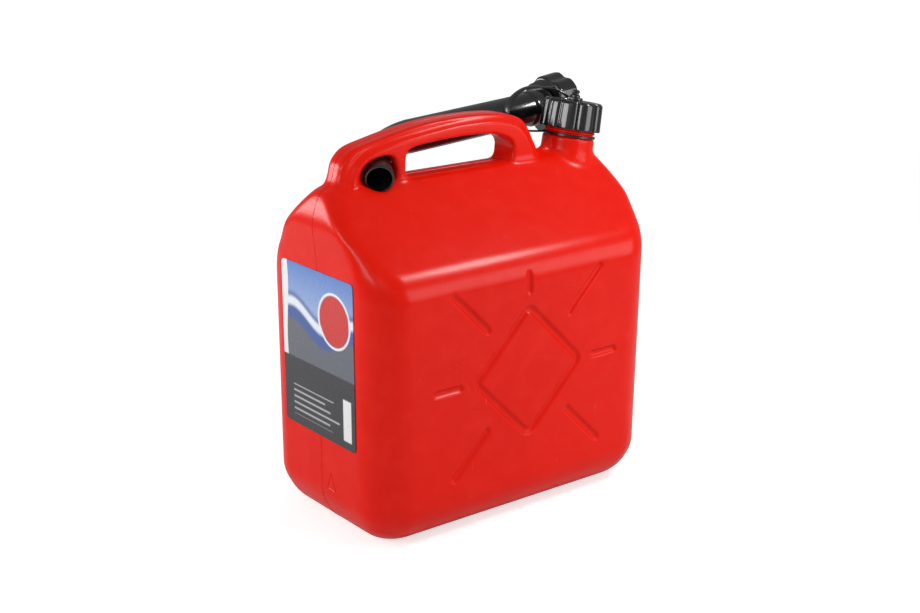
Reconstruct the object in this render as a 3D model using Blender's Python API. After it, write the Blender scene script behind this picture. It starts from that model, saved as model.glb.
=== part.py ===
"""Plastic jerrycan of ten litres: a blow-moulded tank with its handle, a screw cap on a strap,
and a pouring spout kept behind the handle with its bent tip through the handle's foot.

+X runs along the can towards its neck, +Z is up, and the can stands on z = 0. Lengths are in metres.
"""
import math

import bmesh
import bpy
import numpy as np
from mathutils import Matrix, Vector

# Tank
BODY_LENGTH = 0.288
BODY_WIDTH = 0.169
CREST_HEIGHT = 0.2865
WALL = 0.002
FOOT_RADIUS = 0.037
CORNER_RADIUS = 0.033
CORNER_LEAST_RADIUS = 0.005
CORNER_FADE_SHARE = 0.85
SHOULDER_DROP = 0.0825
SHOULDER_HEIGHT = CREST_HEIGHT - SHOULDER_DROP
SHOULDER_RADIUS = 0.036
END_BEND_DROP = 0.0375
END_BEND_HEIGHT = CREST_HEIGHT - END_BEND_DROP
END_BEND_RADIUS = 0.065
END_TURN = math.radians(26.8)
CREST_RADIUS = 0.012
CREST_CENTER_SHARE = 0.0479
CREST_CORNER_SHARE = 0.42
SLOPE_SHARES = (0.25, 0.5, 0.75)

# Shallow recess along the mould's seam, under the tank
SEAM_RECESS_WIDTH = 0.052
SEAM_RECESS_DEPTH = 0.002

# Grooves pressed into both side panels
GROOVE_WIDTH = 0.0068
GROOVE_FLOOR_WIDTH = 0.0034
GROOVE_DEPTH = 0.0018
GROOVE_OVERRUN = 0.0004
PATTERN_HEIGHT_SHARE = 0.4478
PATTERN_HEIGHT = PATTERN_HEIGHT_SHARE * CREST_HEIGHT
PATTERN_OFFSET = 0.005
DIAMOND_REACH = 0.055
DIAMOND_CORNER_RADIUS = 0.006
DIAGONAL_RAY_START = 0.057
DIAGONAL_RAY_END = 0.112
SIDE_RAY_START = 0.067
SIDE_RAY_END = 0.098
TOP_RAY_START = 0.065
TOP_RAY_END = 0.087

# Handle, between the left end and the neck
NECK_SETBACK = 0.0255
HANDLE_SETBACK = 0.0186
HANDLE_NECK_GAP = 0.0365
HANDLE_SPAN = BODY_LENGTH - HANDLE_SETBACK - HANDLE_NECK_GAP - NECK_SETBACK
HANDLE_SINK = 0.0025
HANDLE_RISE = 0.0453
HANDLE_WIDTH = 0.0288
HANDLE_EDGE = 0.0065
HANDLE_WALL = 0.0028
HOLE_EDGE = 0.0025
SPINE_WIDTH = 0.0215
SPINE_THICKNESS = 0.010
SPINE_EDGE = 0.0048

# Neck, along its own leaning axis, measured from the strap ring's seat
NECK_OFFSET = BODY_LENGTH / 2.0 - NECK_SETBACK
NECK_HEIGHT = 0.0104
NECK_LEAN = math.radians(11.0)
NECK_RADIUS = 0.0207
NECK_BORE_RADIUS = 0.0178
NECK_LENGTH = 0.0262
BOSS_RADIUS = 0.0285
BOSS_TOP_RADIUS = 0.0228
BOSS_DEPTH = 0.036
BOSS_STRAIGHT = 0.0095
BOSS_FLARE = 0.0105
BOSS_EDGE = 0.0008
LUG_WIDTH = 0.009
LUG_EDGE = 0.002

# Screw thread shared by the neck, the cap and the spout's nut
THREAD_LEAD = 0.006
THREAD_HEIGHT = 0.0014
THREAD_BASE_WIDTH = 0.0026
THREAD_TIP_WIDTH = 0.0013
THREAD_START = 0.0045
NECK_THREAD_TURNS = 2.75
CAP_THREAD_TURNS = 1.75
THREAD_RADIAL_GAP = 0.00035
THREAD_FLANK_GAP = 0.0003
THREAD_ROOT_SINK = 0.0004
THREAD_END_SHARE = 0.15
THREAD_FADE_STEPS = 2
THREAD_PHASE_SHARE = 0.25

# Lobed skirt shared by the cap and the nut
CAP_HEIGHT = 0.0245
NUT_HEIGHT = 0.021
CAP_RIM_RADIUS = 0.0264
CAP_TOP_RADIUS = 0.0250
CAP_TOP_ROUND = 0.003
CAP_TOP_THICKNESS = 0.0025
CAP_EDGE_SHARES = ((1.0, 0.0, 1.0), (0.7, 0.7, 0.8), (0.0, 1.0, 0.0))
LOBES = 9
LOBE_DEPTH = 0.0013
LOBE_SHARPNESS = 0.45

# Cap's pin, strap and seals
PIN_SHANK_RADIUS = 0.0026
PIN_HEAD_RADIUS = 0.0044
PIN_HEAD_HEIGHT = 0.0064
PIN_TIP_RADIUS = 0.0024
SEAL_THICKNESS = 0.002
STRAP_THICKNESS = 0.0013
STRAP_WIDTH = 0.006
STRAP_RING_HEIGHT = 0.0022
STRAP_RING_WALL = 0.0019
STRAP_EYE_RADIUS = 0.007
STRAP_EYE_HEIGHT = 0.0022

# Spout: its rim, the two straight runs and the bend between them
SPOUT_RADIUS = 0.01425
SPOUT_TIP_RADIUS = 0.0118
SPOUT_WALL = 0.0016
SPOUT_BEND_RADIUS = 0.075
SPOUT_TIP_TURN = math.radians(30.0)
SPOUT_TIP_SLOPE = math.radians(14.0)
SPOUT_REACH = 0.0192
SPOUT_TIP_RUN = 0.064
SPOUT_EXTRA_RUN = 0.0011
SPOUT_MAIN_RUN = HANDLE_SPAN + SPOUT_EXTRA_RUN
SPOUT_SPREAD = 0.106
SPOUT_CLIMB = 0.0405
SPOUT_TIP_SHARE = 0.144
SPOUT_RIM_RISE = 0.004
SPOUT_FLANGE_RADIUS = 0.0204
SPOUT_FLANGE_THICKNESS = 0.0022
SPOUT_CLEARANCE = 0.0008

# Label
LABEL_WIDTH = BODY_WIDTH - 2.0 * CORNER_RADIUS
LABEL_BOTTOM = 0.0815
LABEL_BEND_GAP = 0.0285
LABEL_HEIGHT = END_BEND_HEIGHT - LABEL_BEND_GAP - LABEL_BOTTOM
LABEL_THICKNESS = 0.0004
LABEL_CORNER_RADIUS = 0.004

# Working values
FIT_GAP = 0.0003
CUT_OVERRUN = 0.004
ROUND_SIDES = 48
TUBE_SIDES = 24
ARC_STEPS = 6
EDGE_STEPS = 3
BEND_STEPS = 8

# Outlines in the plane of the mould's seam. Across: shares of the handle's span from its left foot.
# Up: shares of the handle's rise from a line just under the crest.
BAR_SHARES = (
    (0.007, -0.31), (0.019, 0.09), (0.031, 0.26), (0.047, 0.40), (0.078, 0.53), (0.118, 0.635),
    (0.180, 0.715), (0.273, 0.800), (0.431, 0.885), (0.556, 0.930), (0.677, 0.932), (0.760, 0.898),
    (0.830, 0.818), (0.874, 0.705), (0.905, 0.540), (0.932, 0.320), (0.956, 0.090), (0.984, -0.31),
)
SPINE_SHARES = (
    (-0.058, -0.265), (-0.030, 0.0), (-0.006, 0.235), (0.001, 0.385), (0.017, 0.510), (0.046, 0.625),
    (0.085, 0.700), (0.154, 0.772), (0.243, 0.856), (0.371, 0.950), (0.477, 0.990), (0.576, 1.0),
    (0.675, 0.992), (0.775, 0.950), (0.848, 0.862), (0.886, 0.768), (0.916, 0.607), (0.940, 0.397),
    (0.966, 0.177), (0.998, -0.132),
)
GRIP_HOLE_SHARES = (
    (0.310, -0.20), (0.780, -0.20), (0.803, 0.02), (0.818, 0.15), (0.825, 0.29), (0.818, 0.41),
    (0.795, 0.495), (0.757, 0.570), (0.703, 0.622), (0.605, 0.650), (0.503, 0.645), (0.406, 0.622),
    (0.340, 0.590), (0.307, 0.545), (0.293, 0.455), (0.289, 0.31), (0.291, 0.16), (0.302, 0.03),
)
SPOUT_HOLE_SHARES = (
    (0.070, -0.20), (0.245, -0.20), (0.252, 0.03), (0.254, 0.22), (0.250, 0.40), (0.232, 0.485),
    (0.200, 0.510), (0.158, 0.495), (0.116, 0.435), (0.083, 0.340), (0.064, 0.210), (0.060, 0.02),
)
SPOUT_HOLE_BACK_SHARE = 0.25
LUG_SHARES = ((0.940, -0.30), (1.090, -0.30), (1.075, 0.13), (1.010, 0.14), (0.945, 0.16))

# The strap's band, from the ring round the neck to the eye: shares of the neck's length,
# along X, across and up from the middle of the ring's seat.
STRAP_ROUTE_SHARES = (
    (-0.710, 0.423, 0.192), (-1.108, 0.616, 0.207), (-1.538, 0.813, 0.262), (-1.809, 0.945, 0.458),
    (-1.877, 0.989, 0.851), (-1.628, 0.956, 1.332), (-1.131, 0.769, 1.637), (-0.520, 0.396, 1.605),
    (-0.181, 0.187, 1.452), (0.068, 0.084, 1.258),
)

RED = (0.72, 0.026, 0.016)
BLACK = (0.012, 0.012, 0.013)
FOAM = (0.75, 0.75, 0.72)
PAPER = (0.30, 0.38, 0.52)


def clear_scene():
    for thing in list(bpy.data.objects):
        bpy.data.objects.remove(thing, do_unlink=True)


def plastic(name, color, roughness):
    material = bpy.data.materials.new(name)
    material.use_nodes = True
    shader = material.node_tree.nodes["Principled BSDF"]
    shader.inputs["Base Color"].default_value = (*color, 1.0)
    shader.inputs["Roughness"].default_value = roughness
    shader.inputs["Metallic"].default_value = 0.0
    return material


def add_object(name, mesh, parent, material=None):
    thing = bpy.data.objects.new(name, mesh)
    bpy.context.collection.objects.link(thing)
    thing.parent = parent
    if material:
        mesh.materials.append(material)
    return thing


def add_frame(name, location, turn, parent=None):
    """An empty that carries pieces: its Z axis is a piece's own axis."""
    frame = bpy.data.objects.new(name, None)
    bpy.context.collection.objects.link(frame)
    frame.parent = parent
    frame.matrix_local = Matrix.Translation(location) @ turn.to_4x4()
    return frame


def as_cutter(thing):
    thing.hide_render = True
    thing.display_type = "WIRE"
    return thing


def combine(thing, tool, operation):
    modifier = thing.modifiers.new(f"{operation.lower()}_{tool.name}", "BOOLEAN")
    modifier.object = as_cutter(tool)
    modifier.operation = operation
    modifier.solver = "EXACT"


def smooth_faces(mesh, limit=math.radians(32.0)):
    mesh.shade_smooth()
    mesh.set_sharp_from_angle(angle=limit)


def mesh_from_rings(name, rings, closed=False):
    """A skin over rings of equally many points. Open ends are capped; closed joins the last ring to the first."""
    mesh = bpy.data.meshes.new(name)
    shape = bmesh.new()
    rows = [[shape.verts.new(point) for point in ring] for ring in rings]
    pairs = list(zip(rows, rows[1:]))
    if closed:
        pairs.append((rows[-1], rows[0]))
    for lower, upper in pairs:
        for k in range(len(lower)):
            after = (k + 1) % len(lower)
            shape.faces.new((lower[k], lower[after], upper[after], upper[k]))
    if not closed:
        shape.faces.new(rows[0][::-1])
        shape.faces.new(rows[-1])
    bmesh.ops.recalc_face_normals(shape, faces=shape.faces)
    if shape.calc_volume(signed=True) < 0.0:
        bmesh.ops.reverse_faces(shape, faces=shape.faces)
    shape.to_mesh(mesh)
    shape.free()
    smooth_faces(mesh)
    return mesh


def circle(radius, height, sides=ROUND_SIDES):
    turns = [math.tau * k / sides for k in range(sides)]
    return [(radius * math.cos(turn), radius * math.sin(turn), height) for turn in turns]


def turned(name, profile, sides=ROUND_SIDES, closed=False):
    """A solid of revolution about Z from (radius, height) pairs; closed makes a ring with a bore."""
    return mesh_from_rings(name, [circle(r, z, sides) for r, z in profile], closed)


def arc(center_x, center_z, radius, start, end, steps=ARC_STEPS):
    turns = [start + (end - start) * k / steps for k in range(steps + 1)]
    return [(center_x + radius * math.cos(turn), center_z + radius * math.sin(turn)) for turn in turns]


def offset_outline(points, distance):
    """A closed outline, counter-clockwise, moved outwards by distance."""
    moved = []
    for k, here in enumerate(points):
        before = Vector(here) - Vector(points[k - 1])
        after = Vector(points[(k + 1) % len(points)]) - Vector(here)
        before.normalize()
        after.normalize()
        normal = Vector((before.y + after.y, -before.x - after.x)).normalized()
        bend = max(0.5, math.sqrt(max(0.0, (1.0 + before.dot(after)) / 2.0)))
        moved.append(Vector(here) + normal * (distance / bend))
    return moved


def curve_through(points, steps):
    """Points on a smooth open curve through the given points (Catmull-Rom)."""
    spots = [Vector(point) for point in points]
    spots = [2.0 * spots[0] - spots[1], *spots, 2.0 * spots[-1] - spots[-2]]
    curve = []
    for a, b, c, d in zip(spots, spots[1:], spots[2:], spots[3:]):
        for step in range(steps):
            t = step / steps
            curve.append(0.5 * (2.0 * b + (c - a) * t + (2.0 * a - 5.0 * b + 4.0 * c - d) * t * t
                                + (3.0 * b - a - 3.0 * c + d) * t * t * t))
    return [*curve, spots[-2]]


def plate(name, outline, half_width, edge, flare=False):
    """An upright plate: an XZ outline given thickness along Y, with rounded rims, or flared ones for a hole."""
    rings = []
    for side in (-1.0, 1.0):
        steps = range(EDGE_STEPS + 1) if side < 0.0 else range(EDGE_STEPS, -1, -1)
        for step in steps:
            turn = 0.5 * math.pi * step / EDGE_STEPS
            inset = edge * (1.0 - math.sin(turn))
            depth = side * (half_width - edge + edge * math.cos(turn))
            ring = offset_outline(outline, inset if flare else -inset)
            rings.append([(x, depth, z) for x, z in ring])
    if flare:
        reach = half_width + CUT_OVERRUN
        rings.insert(0, [(x, -reach, z) for x, _, z in rings[0]])
        rings.append([(x, reach, z) for x, _, z in rings[-1]])
    return mesh_from_rings(name, rings)


# Tank

def side_profile():
    """Half the tank's width against height, foot to crest. A straight slope touches the shoulder's and crest's arcs."""
    half = BODY_WIDTH / 2.0
    foot = arc(half - FOOT_RADIUS, FOOT_RADIUS, FOOT_RADIUS, -0.5 * math.pi, 0.0)
    shoulder_center = Vector((half - SHOULDER_RADIUS, SHOULDER_HEIGHT))
    crest_center = Vector((CREST_CENTER_SHARE * BODY_WIDTH, CREST_HEIGHT - CREST_RADIUS))
    apart = crest_center - shoulder_center
    turn = math.atan2(apart.y, apart.x) - math.acos((SHOULDER_RADIUS - CREST_RADIUS) / apart.length)
    shoulder = arc(*shoulder_center, SHOULDER_RADIUS, 0.0, turn)
    crest = arc(*crest_center, CREST_RADIUS, turn, 0.5 * math.pi, EDGE_STEPS)
    return foot, shoulder, crest


def end_inset(height):
    """How far the tank's end wall leans in at a height above its bend."""
    rise = height - END_BEND_HEIGHT
    bend_rise = END_BEND_RADIUS * math.sin(END_TURN)
    if rise <= 0.0:
        return 0.0
    if rise < bend_rise:
        return END_BEND_RADIUS - math.sqrt(END_BEND_RADIUS ** 2 - rise ** 2)
    return END_BEND_RADIUS * (1.0 - math.cos(END_TURN)) + (rise - bend_rise) * math.tan(END_TURN)


def tank_levels():
    """(height, half width, half length) of the tank's sections, foot to crest."""
    foot, shoulder, crest = side_profile()
    half_length = BODY_LENGTH / 2.0
    half_width = BODY_WIDTH / 2.0
    levels = [(z, x, half_length - (half_width - x)) for x, z in foot]
    levels += [(z, x, half_length - end_inset(z)) for x, z in shoulder]
    slope_start = shoulder[-1]
    slope_end = crest[0]
    for share in SLOPE_SHARES:
        z = slope_start[1] + share * (slope_end[1] - slope_start[1])
        x = slope_start[0] + share * (slope_end[0] - slope_start[0])
        levels.append((z, x, half_length - end_inset(z)))
    levels += [(z, x, half_length - end_inset(z) - (slope_end[0] - x)) for x, z in crest]
    return levels


def inner_levels(levels, wall):
    """The same sections moved in by the wall, square to the skin."""
    widths = offset_profile([(z, width) for z, width, _ in levels], wall)
    lengths = offset_profile([(z, length) for z, _, length in levels], wall)
    lowest = levels[0][0] + wall
    highest = levels[-1][0] - wall
    inner = []
    for z, width in widths:
        height = min(max(z, lowest), highest)
        length = float(np.interp(height, [p[0] for p in lengths], [p[1] for p in lengths]))
        inner.append((height, width, length))
    return inner


def offset_profile(profile, wall):
    """A profile of (height, half size) pairs moved inwards, its ends square to the axis."""
    moved = []
    for k, (z, size) in enumerate(profile):
        z_before, size_before = profile[max(k - 1, 0)]
        z_after, size_after = profile[min(k + 1, len(profile) - 1)]
        along = Vector((z_after - z_before, size_after - size_before)).normalized()
        if k == 0:
            along = Vector((0.0, 1.0))
        if k == len(profile) - 1:
            along = Vector((0.0, -1.0))
        moved.append((z + wall * along.y, size - wall * along.x))
    return moved


def rounded_rectangle(half_length, half_width, radius, height):
    """A ring of points: four corner arcs."""
    ring = []
    for quarter, (side_x, side_y) in enumerate(((1, 1), (-1, 1), (-1, -1), (1, -1))):
        start = 0.5 * math.pi * quarter
        center_x = side_x * (half_length - radius)
        center_y = side_y * (half_width - radius)
        ring += [(x, y, height) for x, y in arc(center_x, center_y, radius, start, start + 0.5 * math.pi)]
    return ring


def loft_sections(name, levels, inset):
    """A skin through the tank's sections, whose corners sharpen towards the foot and the crest."""
    rings = []
    for height, half_width, half_length in levels:
        drawn_in = BODY_WIDTH / 2.0 - inset - half_width
        radius = max(CORNER_RADIUS - inset - CORNER_FADE_SHARE * drawn_in, CORNER_LEAST_RADIUS)
        radius = min(radius, CREST_CORNER_SHARE * half_width)
        rings.append(rounded_rectangle(half_length, half_width, radius, height))
    return mesh_from_rings(name, rings)


def from_handle_shares(shares):
    left = -BODY_LENGTH / 2.0 + HANDLE_SETBACK
    low = CREST_HEIGHT - HANDLE_SINK
    return [(left + HANDLE_SPAN * across, low + HANDLE_RISE * up) for across, up in shares]


def bar_outline():
    return from_handle_shares(BAR_SHARES)[::-1]


def add_bar(name, parent, inset):
    """The handle's broad bar with its two holes; inset makes the hollow inside it."""
    outline = offset_outline(bar_outline(), -inset)
    half = HANDLE_WIDTH / 2.0 - inset
    bar = add_object(name, plate(name, outline, half, HANDLE_EDGE - inset), parent)
    for hole, shares in (("grip", GRIP_HOLE_SHARES), ("spout", SPOUT_HOLE_SHARES)):
        hole_outline = offset_outline(from_handle_shares(shares), inset)
        hole_name = f"{name}_{hole}_hole"
        mesh = plate(hole_name, hole_outline, half, HOLE_EDGE, flare=True)
        if hole == "spout":
            narrow_to_back(mesh, max(x for x, _ in hole_outline), half)
        combine(bar, add_object(hole_name, mesh, parent), "DIFFERENCE")
    return bar


def narrow_to_back(mesh, right, half_width):
    """Draws a hole's left end towards its right end from the front face to the back face."""
    for vertex in mesh.vertices:
        share = min(max(0.5 + vertex.co.y / (2.0 * half_width), 0.0), 1.0)
        length_share = 1.0 + (SPOUT_HOLE_BACK_SHARE - 1.0) * share
        vertex.co.x = right - (right - vertex.co.x) * length_share


def add_spine(parent):
    """The narrow raised strip along the handle's top, running down the end wall."""
    top = from_handle_shares(SPINE_SHARES)
    below = []
    for k, here in enumerate(top):
        along = Vector(top[min(k + 1, len(top) - 1)]) - Vector(top[max(k - 1, 0)])
        along.normalize()
        below.append(Vector(here) + Vector((along.y, -along.x)) * SPINE_THICKNESS)
    outline = [tuple(point) for point in below] + top[::-1]
    return add_object("spine", plate("spine", outline, SPINE_WIDTH / 2.0, SPINE_EDGE), parent)


def helix_ridge(name, wall_radius, height, first, turns, outward):
    """A screw thread's ridge on a wall of that radius, its centre line rising from first."""
    steps = round(turns * TUBE_SIDES)
    sign = 1.0 if outward else -1.0
    rings = []
    for step in range(steps + 1):
        turn = math.tau * (step + THREAD_PHASE_SHARE) / TUBE_SIDES
        rise = first + THREAD_LEAD * step / TUBE_SIDES
        end_steps = min(step, steps - step)
        grown = min(1.0, THREAD_END_SHARE + end_steps / THREAD_FADE_STEPS)
        root = wall_radius - sign * THREAD_ROOT_SINK
        tip = wall_radius + sign * height * grown
        section = (
            (root, -THREAD_BASE_WIDTH / 2.0), (tip, -THREAD_TIP_WIDTH / 2.0),
            (tip, THREAD_TIP_WIDTH / 2.0), (root, THREAD_BASE_WIDTH / 2.0),
        )
        rings.append([(r * math.cos(turn), r * math.sin(turn), rise + z) for r, z in section])
    return mesh_from_rings(name, rings)


def boss_profile(inset):
    """The neck and the boss under it, bottom to top, moved in by inset."""
    low = -BOSS_STRAIGHT - BOSS_FLARE
    flare = [(BOSS_RADIUS - inset, -BOSS_DEPTH)]
    for step in range(EDGE_STEPS + 1):
        turn = 0.5 * math.pi * step / EDGE_STEPS
        swell = (BOSS_RADIUS - BOSS_TOP_RADIUS) * (1.0 - math.sin(turn))
        flare.append((BOSS_TOP_RADIUS - inset + swell, low + BOSS_FLARE * (1.0 - math.cos(turn))))
    flare += [(BOSS_TOP_RADIUS - inset, -BOSS_EDGE), (BOSS_TOP_RADIUS - BOSS_EDGE - inset, 0.0)]
    return flare


def add_neck(parent):
    profile = [*boss_profile(0.0), (NECK_RADIUS, 0.0), (NECK_RADIUS, NECK_LENGTH)]
    neck = add_object("neck", turned("neck", profile), parent)
    ridge = helix_ridge("neck_thread", NECK_RADIUS, THREAD_HEIGHT, THREAD_START, NECK_THREAD_TURNS, True)
    combine(neck, add_object("neck_thread", ridge, parent), "UNION")
    return neck


def add_neck_bore(parent):
    top = NECK_LENGTH + CUT_OVERRUN
    inner = boss_profile(BOSS_TOP_RADIUS - NECK_BORE_RADIUS)
    profile = [*inner[:-1], (NECK_BORE_RADIUS, top)]
    return add_object("neck_bore", turned("neck_bore", profile), parent)


def groove_section(grow):
    """(half width, depth) pairs of a groove, outside to floor. Its sloped sides run on past the panel's skin."""
    slope = (GROOVE_WIDTH - GROOVE_FLOOR_WIDTH) / (2.0 * GROOVE_DEPTH)
    mouth = GROOVE_WIDTH / 2.0 + slope * GROOVE_OVERRUN + grow
    return [(mouth, -GROOVE_OVERRUN), (GROOVE_FLOOR_WIDTH / 2.0 + grow, GROOVE_DEPTH + grow)]


def capsule_rings(length, grow):
    """A groove's cutter along X from zero, pointing along +Y."""
    rings = []
    for radius, level in groove_section(grow):
        points = arc(length, 0.0, radius, -0.5 * math.pi, 0.5 * math.pi)
        points += arc(0.0, 0.0, radius, 0.5 * math.pi, 1.5 * math.pi)
        rings.append([(x, level, z) for x, z in points])
    return rings


def diamond_outline(reach):
    """A square standing on its corner, with rounded corners."""
    inner = reach - DIAMOND_CORNER_RADIUS * math.sqrt(2.0)
    outline = []
    for quarter in range(4):
        middle = 0.5 * math.pi * quarter
        outline += arc(inner * math.cos(middle), inner * math.sin(middle), DIAMOND_CORNER_RADIUS,
                       middle - 0.25 * math.pi, middle + 0.25 * math.pi, EDGE_STEPS)
    return outline


def groove_pieces(grow):
    """Rings of every groove in a panel, as cutters that point along +Y from the panel's skin."""
    rays = [(0.25 * math.pi + 0.5 * math.pi * k, DIAGONAL_RAY_START, DIAGONAL_RAY_END) for k in range(4)]
    rays += [(0.0, SIDE_RAY_START, SIDE_RAY_END), (math.pi, SIDE_RAY_START, SIDE_RAY_END)]
    rays += [(0.5 * math.pi, TOP_RAY_START, TOP_RAY_END)]
    pieces = []
    for turn, start, end in rays:
        rings = capsule_rings(end - start - GROOVE_WIDTH, grow)
        place = Matrix.Rotation(-turn, 4, "Y") @ Matrix.Translation((start + GROOVE_WIDTH / 2.0, 0.0, 0.0))
        pieces.append((False, [[place @ Vector(point) for point in ring] for ring in rings]))
    mouth, floor = groove_section(grow)
    rings = []
    for side, (half, level) in ((-1.0, mouth), (-1.0, floor), (1.0, floor), (1.0, mouth)):
        outline = offset_outline(diamond_outline(DIAMOND_REACH), side * half)
        rings.append([(x, level, z) for x, z in outline])
    pieces.append((True, rings))
    return pieces


def add_grooves(name, parent, grow):
    """All the grooves of both panels in one cutter; grow widens and deepens them by a wall."""
    joined = bmesh.new()
    for side in (-1.0, 1.0):
        for closed, rings in groove_pieces(grow):
            mesh = mesh_from_rings("groove", rings, closed)
            place = Matrix.Translation((PATTERN_OFFSET, side * BODY_WIDTH / 2.0, PATTERN_HEIGHT))
            if side > 0.0:
                place = place @ Matrix.Scale(-1.0, 4, (0.0, 1.0, 0.0))
            mesh.transform(place)
            if side > 0.0:
                mesh.flip_normals()
            joined.from_mesh(mesh)
            bpy.data.meshes.remove(mesh)
    mesh = bpy.data.meshes.new(name)
    joined.to_mesh(mesh)
    joined.free()
    return add_object(name, mesh, parent)


def add_seam_recess(name, parent, grow):
    """A long shallow hollow under the tank, its section an arc of a large circle."""
    half = SEAM_RECESS_WIDTH / 2.0
    depth = SEAM_RECESS_DEPTH
    radius = (half ** 2 + depth ** 2) / (2.0 * depth)
    reach = math.asin(half / radius)
    top = arc(0.0, depth - radius, radius + grow, 0.5 * math.pi - reach, 0.5 * math.pi + reach)
    section = [(half + grow, -CUT_OVERRUN), *top, (-half - grow, -CUT_OVERRUN)]
    end = BODY_LENGTH / 2.0 + CUT_OVERRUN
    rings = [[(x, y, z) for y, z in section] for x in (-end, end)]
    return add_object(name, mesh_from_rings(name, rings), parent)


def sweep_frames(path):
    """Points with the directions square to the path, carried along without twist."""
    frames = []
    side = Vector((0.0, 0.0, 1.0))
    for k, here in enumerate(path):
        along = (path[min(k + 1, len(path) - 1)] - path[max(k - 1, 0)]).normalized()
        side = (side - along * side.dot(along)).normalized()
        frames.append((here, side, along.cross(side)))
    return frames


def tube_rings(path, radii, sides=TUBE_SIDES):
    rings = []
    for (here, side, other), radius in zip(sweep_frames(path), radii):
        turns = [math.tau * k / sides for k in range(sides)]
        rings.append([here + radius * (math.cos(turn) * side + math.sin(turn) * other) for turn in turns])
    return rings


def spout_lines():
    """The spout's rim, its tip's direction and its long run's direction, in the can's frame."""
    rim_x = -BODY_LENGTH / 2.0 + HANDLE_SETBACK + HANDLE_SPAN * SPOUT_TIP_SHARE
    rim = Vector((rim_x, -SPOUT_REACH, CREST_HEIGHT + SPOUT_RIM_RISE))
    tip = Vector((
        math.sin(SPOUT_TIP_TURN) * math.cos(SPOUT_TIP_SLOPE),
        math.cos(SPOUT_TIP_TURN) * math.cos(SPOUT_TIP_SLOPE),
        math.sin(SPOUT_TIP_SLOPE),
    ))
    main = Vector((1.0, SPOUT_SPREAD, SPOUT_CLIMB)).normalized()
    return rim, tip, main


def spout_path(overrun=0.0):
    """Points and outer radii along the spout, rim to flange."""
    rim, tip, main = spout_lines()
    corner = rim + tip * SPOUT_TIP_RUN
    bend = tip.angle(main)
    tangent = SPOUT_BEND_RADIUS * math.tan(bend / 2.0)
    start = corner - tip * tangent
    inward = (main - tip * main.dot(tip)).normalized()
    center = start + inward * SPOUT_BEND_RADIUS
    points = [rim - tip * overrun]
    radii = [SPOUT_TIP_RADIUS]
    for step in range(BEND_STEPS + 1):
        share = step / BEND_STEPS
        turn = bend * share
        points.append(center - inward * SPOUT_BEND_RADIUS * math.cos(turn) + tip * SPOUT_BEND_RADIUS * math.sin(turn))
        radii.append(SPOUT_TIP_RADIUS + (SPOUT_RADIUS - SPOUT_TIP_RADIUS) * share)
    points.append(corner + main * SPOUT_MAIN_RUN)
    radii.append(SPOUT_RADIUS)
    return points, radii


def add_spout_room(name, parent, gap):
    """The space that the spout's tip and bend need in the handle's foot, with a gap all round."""
    points, radii = spout_path(SPOUT_REACH)
    return add_object(name, mesh_from_rings(name, tube_rings(points, [r + gap for r in radii])), parent)


def add_lug(parent):
    """The small web that ties the handle's right foot to the neck's boss."""
    outline = from_handle_shares(LUG_SHARES)
    return add_object("lug", plate("lug", outline, LUG_WIDTH / 2.0, LUG_EDGE), parent)


def build_tank(can, neck_frame):
    levels = tank_levels()
    tank = add_object("tank_body", loft_sections("tank_body", levels, 0.0), can,
                      plastic("red_polyethylene", RED, 0.42))
    combine(tank, add_bar("bar", can, 0.0), "UNION")
    combine(tank, add_spine(can), "UNION")
    combine(tank, add_lug(can), "UNION")
    combine(tank, add_neck(neck_frame), "UNION")
    combine(tank, add_grooves("grooves", can, 0.0), "DIFFERENCE")
    combine(tank, add_seam_recess("seam_recess", can, 0.0), "DIFFERENCE")
    combine(tank, add_spout_room("spout_room", can, SPOUT_CLEARANCE), "DIFFERENCE")

    cavity = add_object("cavity", loft_sections("cavity", inner_levels(levels, WALL), WALL), can)
    combine(cavity, add_bar("bar_hollow", can, HANDLE_WALL), "UNION")
    combine(cavity, add_neck_bore(neck_frame), "UNION")
    combine(cavity, add_grooves("groove_backs", can, WALL), "DIFFERENCE")
    combine(cavity, add_seam_recess("seam_back", can, WALL), "DIFFERENCE")
    combine(cavity, add_spout_room("spout_room_back", can, SPOUT_CLEARANCE + WALL), "DIFFERENCE")
    combine(tank, cavity, "DIFFERENCE")
    return tank


def build_label(can):
    """A flat film on the end wall, just off it."""
    half = LABEL_WIDTH / 2.0
    middle = LABEL_BOTTOM + LABEL_HEIGHT / 2.0
    near = -BODY_LENGTH / 2.0 - FIT_GAP
    ring = rounded_rectangle(half, LABEL_HEIGHT / 2.0, LABEL_CORNER_RADIUS, near)
    rings = [[(level, y, middle + z) for y, z, _ in ring] for level in (near - LABEL_THICKNESS, near)]
    mesh = mesh_from_rings("end_label", rings)
    return add_object("end_label", mesh, can, plastic("label_film", PAPER, 0.35))


# Cap, seals, strap

def lobed_ring(radius, depth, height, points_per_lobe=8):
    """A ring with wide round lobes parted by narrow flutes."""
    count = LOBES * points_per_lobe
    ring = []
    for k in range(count):
        turn = math.tau * k / count
        lobe = abs(math.cos(0.5 * LOBES * turn)) ** LOBE_SHARPNESS
        reach = radius - depth * (1.0 - lobe)
        ring.append((reach * math.cos(turn), reach * math.sin(turn), height))
    return ring


def cap_stand():
    """The cap's rim over the strap ring's seat, when the cap is down on its seal."""
    return NECK_LENGTH + 2.0 * FIT_GAP + SEAL_THICKNESS + CAP_TOP_THICKNESS - CAP_HEIGHT


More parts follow.
